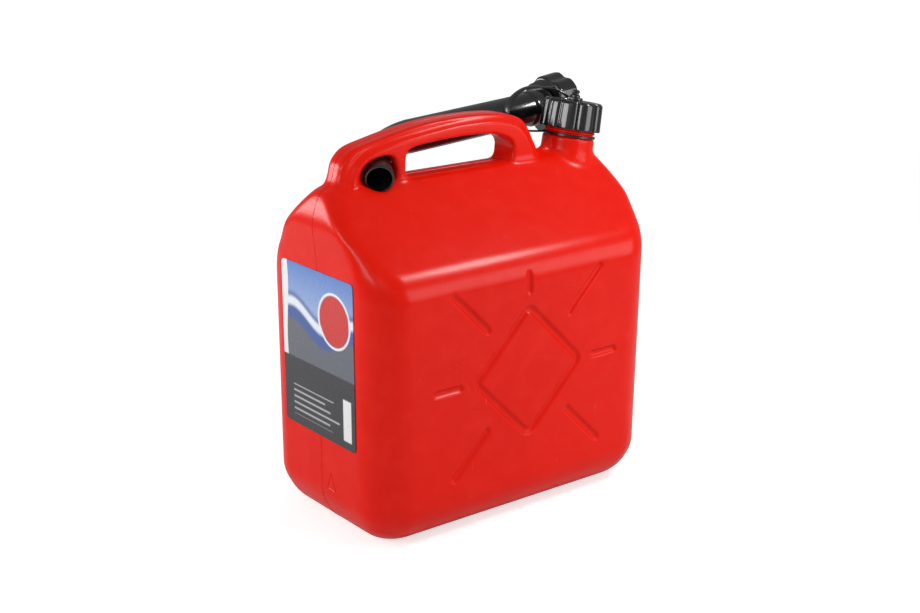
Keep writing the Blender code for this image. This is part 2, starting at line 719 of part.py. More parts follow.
def lobed_skirt(name, height, top_bore):
    """A cap or nut from its rim up: lobed outside, stepped and bored inside. top_bore of zero closes its top."""
    wall_radius = NECK_RADIUS + THREAD_HEIGHT + THREAD_RADIAL_GAP
    seat_radius = NECK_RADIUS + 2.0 * THREAD_RADIAL_GAP
    seat = height - CAP_TOP_THICKNESS
    step = seat - SEAL_THICKNESS - THREAD_BASE_WIDTH
    outside = [lobed_ring(CAP_RIM_RADIUS - FIT_GAP, LOBE_DEPTH, 0.0), lobed_ring(CAP_RIM_RADIUS, LOBE_DEPTH, FIT_GAP)]
    for out_share, up_share, flute_share in CAP_EDGE_SHARES:
        radius = CAP_TOP_RADIUS - CAP_TOP_ROUND * (1.0 - out_share)
        level = height - CAP_TOP_ROUND * (1.0 - up_share)
        outside.append(lobed_ring(radius, LOBE_DEPTH * flute_share, level))
    skirt = mesh_from_rings(name, outside)
    inside = [(wall_radius, -CUT_OVERRUN), (wall_radius, step - THREAD_RADIAL_GAP), (seat_radius, step + THREAD_HEIGHT),
              (seat_radius, seat)]
    if top_bore > 0.0:
        inside += [(top_bore, seat), (top_bore, height + CUT_OVERRUN)]
    return skirt, turned(f"{name}_inside", inside), wall_radius


def add_skirt(name, frame, material, height, top_bore):
    mesh, inside, wall_radius = lobed_skirt(name, height, top_bore)
    skirt = add_object(name, mesh, frame, material)
    combine(skirt, add_object(f"{name}_inside", inside, frame), "DIFFERENCE")
    pitch_back = (THREAD_BASE_WIDTH + THREAD_TIP_WIDTH) / 2.0 + THREAD_FLANK_GAP
    turns_up = math.ceil((cap_stand() - THREAD_START + pitch_back + THREAD_TIP_WIDTH) / THREAD_LEAD)
    first = THREAD_START + turns_up * THREAD_LEAD - pitch_back - cap_stand()
    reach = wall_radius - NECK_RADIUS - THREAD_RADIAL_GAP
    ridge = helix_ridge(f"{name}_thread", wall_radius, reach, first, CAP_THREAD_TURNS, False)
    combine(skirt, add_object(f"{name}_thread", ridge, frame), "UNION")
    return skirt


def build_cap(neck_frame):
    frame = add_frame("cap_frame", Vector((0.0, 0.0, cap_stand())), Matrix.Identity(3), neck_frame)
    cap = add_skirt("screw_cap", frame, plastic("black_polypropylene", BLACK, 0.30), CAP_HEIGHT, 0.0)
    head = CAP_HEIGHT + STRAP_EYE_HEIGHT + 2.0 * FIT_GAP
    profile = [
        (PIN_SHANK_RADIUS, CAP_HEIGHT - CAP_TOP_THICKNESS / 2.0),
        (PIN_SHANK_RADIUS, head),
        (PIN_HEAD_RADIUS, head),
        (PIN_HEAD_RADIUS, head + PIN_HEAD_HEIGHT / 4.0),
        (PIN_TIP_RADIUS, head + PIN_HEAD_HEIGHT),
    ]
    combine(cap, add_object("cap_pin", turned("cap_pin", profile, TUBE_SIDES), frame), "UNION")
    return cap


def build_cap_seal(neck_frame):
    low = NECK_LENGTH + FIT_GAP
    profile = [(NECK_RADIUS, low), (NECK_RADIUS, low + SEAL_THICKNESS)]
    mesh = turned("cap_seal", profile)
    return add_object("cap_seal", mesh, neck_frame, plastic("seal_foam", FOAM, 0.85))


def strap_route():
    """The band's middle line, in the can's frame."""
    seat = Vector((NECK_OFFSET, 0.0, CREST_HEIGHT + NECK_HEIGHT))
    return curve_through([seat + NECK_LENGTH * Vector(shares) for shares in STRAP_ROUTE_SHARES], EDGE_STEPS)


def build_strap(can, neck_frame):
    """One soft moulding: a ring round the neck, a band bent into a loop, an eye round the cap's pin."""
    inner = NECK_RADIUS + THREAD_RADIAL_GAP
    outer = inner + STRAP_RING_WALL
    low = FIT_GAP
    high = low + STRAP_RING_HEIGHT
    ring = turned("cap_strap", [(inner, low), (outer, low), (outer, high), (inner, high)], closed=True)
    strap = add_object("cap_strap", ring, neck_frame, plastic("black_strap", BLACK, 0.38))
    eye_low = cap_stand() + CAP_HEIGHT + FIT_GAP
    eye_high = eye_low + STRAP_EYE_HEIGHT
    bore = PIN_SHANK_RADIUS + FIT_GAP
    profile = [(bore, eye_low), (STRAP_EYE_RADIUS, eye_low), (STRAP_EYE_RADIUS, eye_high), (bore, eye_high)]
    eye = add_object("strap_eye", turned("strap_eye", profile, TUBE_SIDES, closed=True), neck_frame)
    route = strap_route()
    rings = []
    across = Vector((0.0, 1.0, 0.0))
    for k, here in enumerate(route):
        along = (route[min(k + 1, len(route) - 1)] - route[max(k - 1, 0)]).normalized()
        side = (across - along * across.dot(along)).normalized() * (STRAP_WIDTH / 2.0)
        up = along.cross(side).normalized() * (STRAP_THICKNESS / 2.0)
        rings.append([here - side - up, here + side - up, here + side + up, here - side + up])
    band = add_object("strap_band", mesh_from_rings("strap_band", rings), can)
    combine(strap, band, "UNION")
    combine(strap, eye, "UNION")
    return strap


# Spout

def spout_frame(can):
    """An empty at the flange's outer face, its Z axis pointing back along the tube to the tip."""
    points, _ = spout_path()
    _, _, main = spout_lines()
    turn = Vector((0.0, 0.0, 1.0)).rotation_difference(-main).to_matrix()
    return add_frame("spout_frame", points[-1], turn, can)


def build_spout(can, frame):
    points, radii = spout_path()
    _, _, main = spout_lines()
    flange_back = points[-1] - main * SPOUT_FLANGE_THICKNESS
    outer = tube_rings([*points[:-1], flange_back], radii)
    sides = tube_rings([points[-2], flange_back, points[-1]], [SPOUT_RADIUS, SPOUT_FLANGE_RADIUS, SPOUT_FLANGE_RADIUS])
    inner = tube_rings(points, [radius - SPOUT_WALL for radius in radii])
    mesh = mesh_from_rings("spout_tube", [*outer, *sides[1:], *inner[::-1]], closed=True)
    spout = add_object("spout_tube", mesh, can, plastic("spout_black", BLACK, 0.26))
    return spout


def build_nut(frame):
    """The union nut: the cap's skirt with a bored top, its top's inner face on the flange's back."""
    seat = NUT_HEIGHT - CAP_TOP_THICKNESS
    place = Vector((0.0, 0.0, SPOUT_FLANGE_THICKNESS + FIT_GAP - seat))
    nut_frame = add_frame("nut_frame", place, Matrix.Identity(3), frame)
    bore = SPOUT_RADIUS + SPOUT_CLEARANCE
    return add_skirt("spout_nut", nut_frame, plastic("nut_black", BLACK, 0.32), NUT_HEIGHT, bore)


def build_spout_seal(frame):
    bore = SPOUT_RADIUS - SPOUT_WALL
    high = -FIT_GAP
    low = high - SEAL_THICKNESS
    profile = [(bore, low), (SPOUT_FLANGE_RADIUS, low), (SPOUT_FLANGE_RADIUS, high), (bore, high)]
    mesh = turned("spout_seal", profile, closed=True)
    return add_object("spout_seal", mesh, frame, plastic("spout_seal_rubber", BLACK, 0.7))


def centring_shift():
    """Brings the middle of the whole length, label to nut, over the origin."""
    points, _ = spout_path()
    _, _, main = spout_lines()
    nut_reach = NUT_HEIGHT - CAP_TOP_THICKNESS - SPOUT_FLANGE_THICKNESS - FIT_GAP
    tilt = math.sqrt(1.0 - main.x ** 2)
    right = points[-1].x + nut_reach * main.x + CAP_RIM_RADIUS * tilt
    left = BODY_LENGTH / 2.0 + FIT_GAP + LABEL_THICKNESS
    return (left - right) / 2.0


def main():
    clear_scene()
    can = add_frame("can_frame", Vector((centring_shift(), 0.0, 0.0)), Matrix.Identity(3))
    lean = Matrix.Rotation(NECK_LEAN, 3, "Y")
    neck_frame = add_frame("neck_frame", Vector((NECK_OFFSET, 0.0, CREST_HEIGHT + NECK_HEIGHT)), lean, can)
    build_tank(can, neck_frame)
    build_label(can)
    build_cap(neck_frame)
    build_cap_seal(neck_frame)
    build_strap(can, neck_frame)
    frame = spout_frame(can)
    build_spout(can, frame)
    build_nut(frame)
    build_spout_seal(frame)


main()
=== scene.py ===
"""Looks of the plastic jerrycan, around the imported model. Lengths are in metres, in the model's frame."""

from math import acos, asin, atan2, ceil, cos, hypot, pi, radians, sin, sqrt, tan, tau

import bmesh
import bpy
from mathutils import Matrix, Vector


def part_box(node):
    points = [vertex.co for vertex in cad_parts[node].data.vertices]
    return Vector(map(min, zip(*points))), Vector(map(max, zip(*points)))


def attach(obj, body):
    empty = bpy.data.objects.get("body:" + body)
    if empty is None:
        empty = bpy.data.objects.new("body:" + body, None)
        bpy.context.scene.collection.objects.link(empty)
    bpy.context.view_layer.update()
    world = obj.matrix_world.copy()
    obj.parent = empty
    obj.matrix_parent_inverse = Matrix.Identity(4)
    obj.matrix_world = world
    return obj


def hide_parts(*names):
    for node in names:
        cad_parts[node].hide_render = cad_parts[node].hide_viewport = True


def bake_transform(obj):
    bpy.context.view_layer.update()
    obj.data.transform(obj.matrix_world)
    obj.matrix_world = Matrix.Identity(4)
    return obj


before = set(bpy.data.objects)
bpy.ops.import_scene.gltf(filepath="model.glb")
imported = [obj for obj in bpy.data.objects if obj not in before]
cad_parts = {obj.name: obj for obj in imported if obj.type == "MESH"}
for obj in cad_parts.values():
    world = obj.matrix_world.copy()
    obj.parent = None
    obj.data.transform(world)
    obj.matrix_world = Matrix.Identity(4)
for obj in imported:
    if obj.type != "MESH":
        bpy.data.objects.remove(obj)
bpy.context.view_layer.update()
tank_low, tank_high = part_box("tank_body")

# Camera: fitted to the photograph
CAMERA_TURN = radians(-37.69)
CAMERA_DROP = radians(17.19)
CAMERA_LENS_MM = 60.29
CAMERA_PLACE = (-0.77603, -0.9921, 0.5518)

# Tank: as in the CAD model, but for its rounder corners and the swell of its ends
CAN_X = (tank_low.x + tank_high.x) / 2.0
BODY_LENGTH = 0.288
BODY_WIDTH = 0.169
HALF_LENGTH = BODY_LENGTH / 2.0
HALF_WIDTH = BODY_WIDTH / 2.0
CREST_HEIGHT = 0.2865
FOOT_RADIUS = 0.037
CORNER_RADIUS = 0.033
# A corner's radius: its fall per length that the side draws in, its least, its most per half width
SKIN_CORNER = (0.62, 0.012, 0.80)
CAD_CORNER = (0.85, 0.005, 0.42)
CORNER_FILL_SHARE = 0.51
CORNER_FILL_SOFTNESS = 0.004
# An end's bulge: the most, the height that it has there, and its reach up and down
NECK_END_SWELL = (0.005, 0.225, 0.09)
LABEL_END_SWELL = (0.0035, 0.264, 0.037)
SHOULDER_HEIGHT = 0.204
SHOULDER_RADIUS = 0.036
END_BEND_HEIGHT = 0.2385
END_BEND_RADIUS = 0.10
END_TURN = radians(26.8)
CREST_RADIUS = 0.012
CREST_CENTER_SHARE = 0.0479
CAVITY_WALL = 0.003
# The ends' least wall as a share of it, and the least rise between two of the cavity's sections
END_WALL_SHARE = 0.5
LEVEL_GAP = 1e-5
SEAM_RECESS_WIDTH = 0.052
SEAM_RECESS_DEPTH = 0.002
GROOVE_WIDTH = 0.0072
GROOVE_FLOOR_WIDTH = 0.0036
GROOVE_DEPTH = 0.0021
GROOVE_OVERRUN = 0.0004
PATTERN_HEIGHT = 0.1283
PATTERN_OFFSET = 0.005
DIAMOND_REACH = 0.055
DIAMOND_CORNER_RADIUS = 0.006
DIAGONAL_RAY = (0.057, 0.112)
SIDE_RAY = (0.067, 0.098)
TOP_RAY = (0.065, 0.087)

# Handle
HANDLE_SETBACK = 0.0186
HANDLE_SINK = 0.0025
HANDLE_SPAN = 0.2074
HANDLE_RISE = 0.0453
HANDLE_WIDTH = 0.0288
# (inset, depth) pairs from the face of the handle's plate
HANDLE_RIM = (
    (0.0050, 0.0), (0.0043, 0.00015), (0.0038, 0.0006), (0.0025, 0.0018), (0.0012, 0.0028), (0.0, 0.0037),
)
RIM_ROOM_SHARE = 1.3
HOLE_EDGE = 0.0028
SPINE_WIDTH = 0.0215
SPINE_THICKNESS = 0.013
SPINE_EDGE = 0.0032
LUG_WIDTH = 0.009
LUG_EDGE = 0.002
GUSSET_WIDTH = 0.0056
GUSSET_EDGE = 0.0016
# (along, up) from the neck's seat
GUSSET_OUTLINE = (
    (-0.046, -0.013), (-0.012, -0.020), (-0.012, 0.0018), (-0.0215, 0.0036), (-0.0275, -0.0005),
    (-0.0345, -0.0062),
)

# Neck and thread
NECK_OFFSET = 0.1185
NECK_HEIGHT = 0.0104
NECK_LEAN = radians(11.0)
NECK_RADIUS = 0.0207
NECK_BORE_RADIUS = 0.0178
NECK_LENGTH = 0.0262
NECK_LIP = 0.0006
NECK_SINK = 0.012
NECK_BEAD_LOW = 0.0034
NECK_BEAD_HIGH = 0.0062
# (inset, rise) pairs from the bead's side
NECK_BEAD_ROUND = ((0.0004, 0.0005), (0.0, 0.0009))
TANK_BORE_GAP = 0.001
BOSS_RADIUS = 0.0285
BOSS_TOP_RADIUS = 0.0228
BOSS_DEPTH = 0.036
BOSS_STRAIGHT = 0.0095
BOSS_FLARE = 0.0075
BOSS_FLARE_DEPTH = 0.0210
BOSS_EDGE = 0.0012
THREAD_LEAD = 0.006
THREAD_HEIGHT = 0.0014
THREAD_BASE_WIDTH = 0.0026
THREAD_TIP_WIDTH = 0.0013
THREAD_START = 0.0045
NECK_THREAD_TURNS = 2.75
CAP_THREAD_TURNS = 1.75
THREAD_RADIAL_GAP = 0.00035
THREAD_FLANK_GAP = 0.0003
THREAD_ROOT_SINK = 0.0004
THREAD_PHASE_SHARE = 0.25
THREAD_FIRST_GROWTH = 0.12
THREAD_GROWTH_STEPS = 6.0
# (share of the thread's height, share of its tip's width) pairs
THREAD_FLANK = ((0.75, 0.62), (1.0, 0.35))

# Cap and nut
CAP_HEIGHT = 0.0245
NUT_HEIGHT = 0.021
CAP_RIM_RADIUS = 0.0264
CAP_TOP_RADIUS = 0.0254
CAP_TOP_ROUND = 0.003
CAP_TOP_THICKNESS = 0.0025
LOBE_POINTS = 32
LOBE_FADE_POWER = 2.2
# (inset, height) pairs
SKIRT_RIM = ((0.0006, 0.0), (0.00015, 0.00015), (0.0, 0.0007))
SKIRT_WALL_START = 0.0014
# Lobes: their count, their turn in lobes, the flutes' depth and half width, the crown's fall, the swell
CAP_LOBES = (9, 0.48, 0.0010, 0.0024, 0.0020, 0.0004)
NUT_LOBES = (7, 0.30, 0.0024, 0.0085, 0.0, 0.0006)
PIN_SHANK_RADIUS = 0.0026
# (radius, height) pairs: the dish and the foot stand on the cap's top, the head on the strap's eye
CAP_DISH = ((0.0165, -0.0004), (0.0178, 0.002))
PIN_FOOT = ((0.0060, -0.001), (0.0060, -0.0002), (0.0054, 0.0))
PIN_HEAD = (
    (0.0041, 0.0), (0.0044, 0.0003), (0.0044, 0.0014), (0.0039, 0.0019), (0.0030, 0.0024),
    (0.0028, 0.0034), (0.0035, 0.0038), (0.0036, 0.0052), (0.0027, 0.0061), (0.0020, 0.0064),
)
SEAL_THICKNESS = 0.002
FIT_GAP = 0.0003

# Strap
STRAP_THICKNESS = 0.0013
STRAP_WIDTH = 0.006
STRAP_RING_HEIGHT = 0.0022
STRAP_RING_WALL = 0.0019
STRAP_EYE_RADIUS = 0.007
STRAP_EYE_HEIGHT = 0.0022
STRAP_RING_EDGE = 0.0004
# The band's width, in shares of the strap's: at its ends, how much more at its widest, and where that is
STRAP_END_SHARE = 0.8
STRAP_BELLY_SHARE = 0.55
STRAP_BELLY_PLACE = 0.4

# Spout
SPOUT_RADIUS = 0.01425
SPOUT_TIP_RADIUS = 0.0118
SPOUT_WALL = 0.0016
SPOUT_BEND_RADIUS = 0.075
SPOUT_TIP_TURN = radians(30.0)
SPOUT_TIP_SLOPE = radians(14.0)
SPOUT_REACH = 0.0192
SPOUT_TIP_RUN = 0.064
SPOUT_MAIN_RUN = 0.2085
SPOUT_SPREAD = 0.106
SPOUT_CLIMB = 0.0405
SPOUT_TIP_SHARE = 0.144
SPOUT_RIM_RISE = 0.004
SPOUT_FLANGE_RADIUS = 0.0204
SPOUT_FLANGE_THICKNESS = 0.0022
SPOUT_CLEARANCE = 0.0004
# Where rings stand along the straight part
SPOUT_STRAIGHT_SHARES = (0.30, 0.60)
# (distance from the flange's face, growth) pairs on the tube's radius and on the flange's
SPOUT_COLLAR = (
    (0.0290, 0.0), (0.0280, 0.0004), (0.0265, 0.0014), (0.0250, 0.0018), (0.0075, 0.0018),
    (0.0066, 0.0012), (0.0062, 0.0), (0.0052, 0.0), (0.0032, 0.0003), (SPOUT_FLANGE_THICKNESS, 0.0014),
)
SPOUT_FLANGE = ((SPOUT_FLANGE_THICKNESS, -0.0003), (0.0018, 0.0), (0.0004, 0.0), (0.0, -0.0004))
SPOUT_LIP = 0.0005
# (along, inset) pairs at the rim, in lips
SPOUT_LIP_ROUND = ((0.0, 1.2), (0.4, 0.3), (1.2, 0.0))
# The distance under which two points of the path are in one place, and how far they are moved apart
SAME_PLACE = 1e-6
NUDGE = 2e-5

# Label
LABEL_WIDTH = 0.103
LABEL_HEIGHT = 0.139
LABEL_BOTTOM = 0.0815
LABEL_THICKNESS = 0.0004
LABEL_CORNER_RADIUS = 0.004
LABEL_EDGE_SHARE = 0.35
# The disc's middle and the panel's top, in shares of the label's sides, and how many rows its height takes
DISC_PLACE = 0.74
PANEL_TOP = 0.42
PANEL_ROWS = 26.0
# (across, up) of the moulded triangle
MARK_CORNERS = ((-0.0134, 0.0526), (-0.0078, 0.0380), (-0.0198, 0.0380))
MARK_BEAD_RADIUS = 0.00035
SEAM_BEAD_RADIUS = 0.00026

# Colours
RED = (0.80, 0.009, 0.001)
RED_DEEP = (0.74, 0.007, 0.0008)
RED_LIGHT = (0.82, 0.016, 0.006)
RED_WORN = (0.80, 0.07, 0.05)
BLACK = (0.006, 0.006, 0.007)
BLACK_DUSTY = (0.014, 0.014, 0.015)
BLACK_RUBBED = (0.035, 0.035, 0.037)
WHITE = EVEN = (1.0, 1.0, 1.0)

# Studio. A lamp: its place, what it faces, its width and height, its watts
STUDIO_LIGHT = 0.31
FLOOR_SIZE = 14.0
FLOOR_COLOR = (0.72, 0.72, 0.72)
FLOOR_LIFT = (0.60, 0.90)
FLOOR_LIFT_REACH = (0.2, 3.0)
LAMPS = (
    ("right_box", (0.39, -0.42, 0.74), (0.0, -0.04, 0.18), (0.14, 0.14), 2.5),
    ("front_box", (0.55, -0.80, 0.36), (0.0, -0.04, 0.18), (0.70, 0.40), 3.05),
    ("left_box", (-0.78, 0.90, 0.46), (-0.1, 0.0, 0.20), (0.36, 0.34), 4.6),
    ("end_strip", (-1.22, -0.10, 0.64), (-0.13, -0.02, 0.25), (1.10, 0.26), 6.2),
    ("fill_box", (-1.15, -1.45, 1.10), (0.0, 0.0, 0.15), (1.0, 0.8), 1.8),
)

# Fineness
ARC_STEPS = 20
EDGE_STEPS = 7
ROUND_SIDES = 96
THREAD_SIDES = 48
TUBE_SIDES = 48
PIN_SIDES = 40
EYE_SIDES = 48
BEAD_SIDES = 6
BEND_STEPS = 28
OUTLINE_STEPS = 5
HOLE_STEPS = 3
SLOPE_STEPS = 12
SKIRT_STEPS = 8
STRAP_STEPS = 8
STRAP_EDGE_STEPS = 4
MARK_STEPS = 8
SEAM_LEAST_POINTS = 40
# A bead takes X as its side where it runs along Y by this share or more
NEARLY_ALONG = 0.9
# How far cutting shapes reach past what they cut
CUT_OVERRUN = 0.004
SMOOTH_LIMIT = radians(35.0)
TANK_SMOOTH_LIMIT = radians(50.0)
VOXEL = 0.0009
SOFTENING_PASSES = 3
FILLET_PASSES = 130
FILLET_HEIGHT = 0.2835
FILLET_REACH = 0.011
FILLET_LOW = 0.225
KEPT_FACES_SHARE = 0.16
# Fillets by smoothing: where it has its full share and where it has none
CREST_FILLET_WIDTH = (0.019, 0.027)
CREST_FILLET_END = (0.106, 0.116)
BOSS_FILLET_REACH = (0.003, 0.011)
BOSS_FILLET_TOP = (-0.010, -0.005)
BOSS_FILLET_FOOT = (0.034, 0.044)
HIP_FILLET_END = (-0.136, -0.112)
HIP_FILLET_FOOT = (-0.255, -0.228)
HIP_FILLET_SIDE = (0.0, 0.1)

# Outlines in the plane of the mould's seam, as in the CAD model but for the spout's hole. Across, from the
# handle's left foot: thousandths of its span. Up, from a line just under the crest: thousandths of its rise.
BAR_SHARES = (
    (7, -310), (19, 90), (31, 260), (47, 400), (78, 530), (118, 635), (180, 715), (273, 800), (431, 885),
    (556, 930), (677, 932), (760, 898), (830, 818), (874, 705), (905, 540), (932, 320), (956, 90),
    (984, -310),
)
SPINE_SHARES = (
    (-58, -265), (-30, 0), (-6, 235), (1, 385), (17, 510), (46, 625), (85, 700), (154, 772), (243, 856),
    (371, 950), (477, 990), (576, 1000), (675, 992), (775, 950), (848, 862), (886, 768), (916, 607),
    (940, 397), (966, 177), (998, -132),
)
GRIP_HOLE_SHARES = (
    (310, -200), (780, -200), (803, 20), (818, 150), (825, 290), (818, 410), (795, 495), (757, 570),
    (703, 622), (605, 650), (503, 645), (406, 622), (340, 590), (307, 545), (293, 455), (289, 310),
    (291, 160), (302, 30),
)
SPOUT_HOLE_SHARES = (
    (70, -200), (232, -200), (241, 30), (245, 220), (241, 380), (226, 465), (198, 500), (158, 490),
    (116, 435), (83, 340), (64, 210), (60, 20),
)
SPOUT_HOLE_BACK_SHARE = 0.12
LUG_SHARES = ((940, -300), (1090, -300), (1075, 130), (1010, 140), (945, 160))
# (along, across, up) from the neck's seat, in shares of the neck's length
STRAP_ROUTE_SHARES = (
    (-0.710, 0.423, 0.192), (-1.108, 0.616, 0.207), (-1.538, 0.813, 0.262), (-1.809, 0.945, 0.458),
    (-1.877, 0.989, 0.851), (-1.628, 0.956, 1.332), (-1.131, 0.769, 1.637), (-0.520, 0.396, 1.605),
    (-0.181, 0.187, 1.452), (0.068, 0.084, 1.258),
)

QUARTER = 0.5 * pi
UP = Vector((0.0, 0.0, 1.0))
IN_CAN = Matrix.Translation((CAN_X, 0.0, 0.0))
IN_NECK = IN_CAN @ Matrix.Translation((NECK_OFFSET, 0.0, CREST_HEIGHT + NECK_HEIGHT))
IN_NECK = IN_NECK @ Matrix.Rotation(NECK_LEAN, 4, "Y")
CAP_STAND = NECK_LENGTH + 2.0 * FIT_GAP + SEAL_THICKNESS + CAP_TOP_THICKNESS - CAP_HEIGHT
IN_CAP = IN_NECK @ Matrix.Translation((0.0, 0.0, CAP_STAND))


# Mesh helpers

def add_object(name, data, place=None):
    data.name = name
    if place is not None:
        data.transform(place)
    thing = bpy.data.objects.new(name, data)
    bpy.context.scene.collection.objects.link(thing)
    return thing


def mesh_of(shape):
    mesh = bpy.data.meshes.new("shape")
    shape.to_mesh(mesh)
    shape.free()
    return mesh


def smooth_faces(mesh, limit=SMOOTH_LIMIT):
    mesh.shade_smooth()
    mesh.set_sharp_from_angle(angle=limit)


def mesh_from_rings(rings, closed=False):
    """A skin over rings of equally many points. Open ends are capped; closed joins the last to the first."""
    shape = bmesh.new()
    rows = [[shape.verts.new(point) for point in ring] for ring in rings]
    pairs = list(zip(rows, rows[1:]))
    if closed:
        pairs.append((rows[-1], rows[0]))
    for lower, upper in pairs:
        for k in range(len(lower)):
            after = (k + 1) % len(lower)
            shape.faces.new((lower[k], lower[after], upper[after], upper[k]))
    if not closed:
        shape.faces.new(rows[0][::-1])
        shape.faces.new(rows[-1])
    bmesh.ops.recalc_face_normals(shape, faces=shape.faces)
    if shape.calc_volume(signed=True) < 0.0:
        bmesh.ops.reverse_faces(shape, faces=shape.faces)
    mesh = mesh_of(shape)
    smooth_faces(mesh)
    return mesh


def joined_mesh(parts):
    """One mesh of several, which are used up."""
    joined = bmesh.new()
    for part in parts:
        joined.from_mesh(part)
        bpy.data.meshes.remove(part)
    return mesh_of(joined)


def circle(radius, height, sides=ROUND_SIDES):
    turns = [tau * k / sides for k in range(sides)]
    return [(radius * cos(turn), radius * sin(turn), height) for turn in turns]


def turned(profile, sides=ROUND_SIDES, closed=False):
    return mesh_from_rings([circle(r, z, sides) for r, z in profile], closed)


def arc(center_x, center_z, radius, start, end, steps=ARC_STEPS):
    turns = [start + (end - start) * k / steps for k in range(steps + 1)]
    return [(center_x + radius * cos(turn), center_z + radius * sin(turn)) for turn in turns]


def heading(turn, rise):
    """The way that is turned from +Y towards +X and raised by these angles."""
    return Vector((sin(turn) * cos(rise), cos(turn) * cos(rise), sin(rise)))


def direction(points, k):
    """The way that a line of points runs at its point k."""
    return (points[min(k + 1, len(points) - 1)] - points[max(k - 1, 0)]).normalized()


def offset_outline(points, distance):
    """A closed outline, counter-clockwise, moved outwards by distance."""
    moved = []
    for k, here in enumerate(points):
        before = Vector(here) - Vector(points[k - 1])
        after = Vector(points[(k + 1) % len(points)]) - Vector(here)
        before.normalize()
        after.normalize()
        normal = Vector((before.y + after.y, -before.x - after.x)).normalized()
        bend = max(0.5, sqrt(max(0.0, (1.0 + before.dot(after)) / 2.0)))
        moved.append(Vector(here) + normal * (distance / bend))
    return moved


def curve_through(points, steps, closed=False):
    """Points on a smooth curve through the given points (Catmull-Rom)."""
    spots = [Vector(point) for point in points]
    if closed:
        spots = [spots[-1], *spots, spots[0], spots[1]]
    else:
        spots = [2.0 * spots[0] - spots[1], *spots, 2.0 * spots[-1] - spots[-2]]
    curve = []
    for a, b, c, d in zip(spots, spots[1:], spots[2:], spots[3:]):
        for step in range(steps):
            t = step / steps
            curve.append(0.5 * (2.0 * b + (c - a) * t + (2.0 * a - 5.0 * b + 4.0 * c - d) * t * t
                                + (3.0 * b - a - 3.0 * c + d) * t * t * t))
    return curve if closed else [*curve, spots[-2]]


def round_rim(edge):
    """A quarter-round rim: (inset, depth) pairs from the plate's face."""
    turns = [QUARTER * step / EDGE_STEPS for step in range(EDGE_STEPS + 1)]
    return [(edge * (1.0 - sin(turn)), edge * (1.0 - cos(turn))) for turn in turns]


def plate(outline, width, rim, flare=False):
    """An upright plate: an XZ outline given a width along Y, with shaped rims, flared ones for a hole."""
    rings = []
    half_width = width / 2.0
    for side in (-1.0, 1.0):
        for inset, depth in rim if side < 0.0 else rim[::-1]:
            ring = offset_outline(outline, inset if flare else -inset)
            rings.append([(x, side * (half_width - depth), z) for x, z in ring])
    if flare:
        reach = half_width + CUT_OVERRUN
        rings.insert(0, [(x, -reach, z) for x, _, z in rings[0]])
        rings.append([(x, reach, z) for x, _, z in rings[-1]])
    return mesh_from_rings(rings)


def combine(thing, name, mesh, operation, place=None):
    tool = add_object(name, mesh, place)
    modifier = thing.modifiers.new(name, "BOOLEAN")
    modifier.object = tool
    modifier.operation = operation
    modifier.solver = "EXACT"


def bake(thing):
    """Keeps the result of an object's modifiers as its mesh, and removes the tools they used."""
    tools = [m.object for m in thing.modifiers if m.type == "BOOLEAN"]
    bpy.context.view_layer.update()
    result = thing.evaluated_get(bpy.context.evaluated_depsgraph_get())
    mesh = bpy.data.meshes.new_from_object(result)
    thing.modifiers.clear()
    thing.data = mesh
    for tool in tools:
        bpy.data.objects.remove(tool)
    return thing


def finished(thing, place, limit=SMOOTH_LIMIT):
    """A baked piece, put in its place, with smooth faces."""
    bake(thing)
    thing.data.transform(place)
    smooth_faces(thing.data, limit)
    return thing


# Tank

def tank_levels():
    """(height, half width, half length) of the tank's sections, foot to crest."""
    foot = arc(HALF_WIDTH - FOOT_RADIUS, FOOT_RADIUS, FOOT_RADIUS, -QUARTER, 0.0)
    shoulder_center = Vector((HALF_WIDTH - SHOULDER_RADIUS, SHOULDER_HEIGHT))
    crest_center = Vector((CREST_CENTER_SHARE * BODY_WIDTH, CREST_HEIGHT - CREST_RADIUS))
    apart = crest_center - shoulder_center
    turn = atan2(apart.y, apart.x) - acos((SHOULDER_RADIUS - CREST_RADIUS) / apart.length)
    shoulder = arc(*shoulder_center, SHOULDER_RADIUS, 0.0, turn)
    crest = arc(*crest_center, CREST_RADIUS, turn, QUARTER, EDGE_STEPS)
    levels = [(z, x, HALF_LENGTH - (HALF_WIDTH - x)) for x, z in foot]
    levels += [(z, x, HALF_LENGTH - end_inset(z)) for x, z in shoulder]
    for step in range(1, SLOPE_STEPS):
        spot = Vector(shoulder[-1]).lerp(Vector(crest[0]), step / SLOPE_STEPS)
        levels.append((spot.y, spot.x, HALF_LENGTH - end_inset(spot.y)))
    levels += [(z, x, HALF_LENGTH - end_inset(z) - (crest[0][0] - x)) for x, z in crest]
    return levels


def end_inset(height):
    rise = height - END_BEND_HEIGHT
    bend_rise = END_BEND_RADIUS * sin(END_TURN)
    if rise <= 0.0:
        return 0.0
    if rise < bend_rise:
        return END_BEND_RADIUS - sqrt(END_BEND_RADIUS ** 2 - rise ** 2)
    return END_BEND_RADIUS * (1.0 - cos(END_TURN)) + (rise - bend_rise) * tan(END_TURN)


def rounded_rectangle(half_length, half_width, radius, height):
    ring = []
    for quarter, (side_x, side_y) in enumerate(((1, 1), (-1, 1), (-1, -1), (1, -1))):
        start = QUARTER * quarter
        center_x = side_x * (half_length - radius)
        center_y = side_y * (half_width - radius)
        quarter_round = arc(center_x, center_y, radius, start, start + QUARTER)
        ring += [(x, y, height) for x, y in quarter_round]
    return ring


def corner_radius(inset, half_width, corner):
    fade_share, least, most_share = corner
    drawn_in = HALF_WIDTH - inset - half_width
    return min(max(CORNER_RADIUS - inset - fade_share * drawn_in, least), most_share * half_width)


def end_swell(height, swell):
    """How far an end bulges at a height."""
    most, middle, reach = swell
    return most * cos(QUARTER * min(abs(height - middle) / reach, 1.0)) ** 2


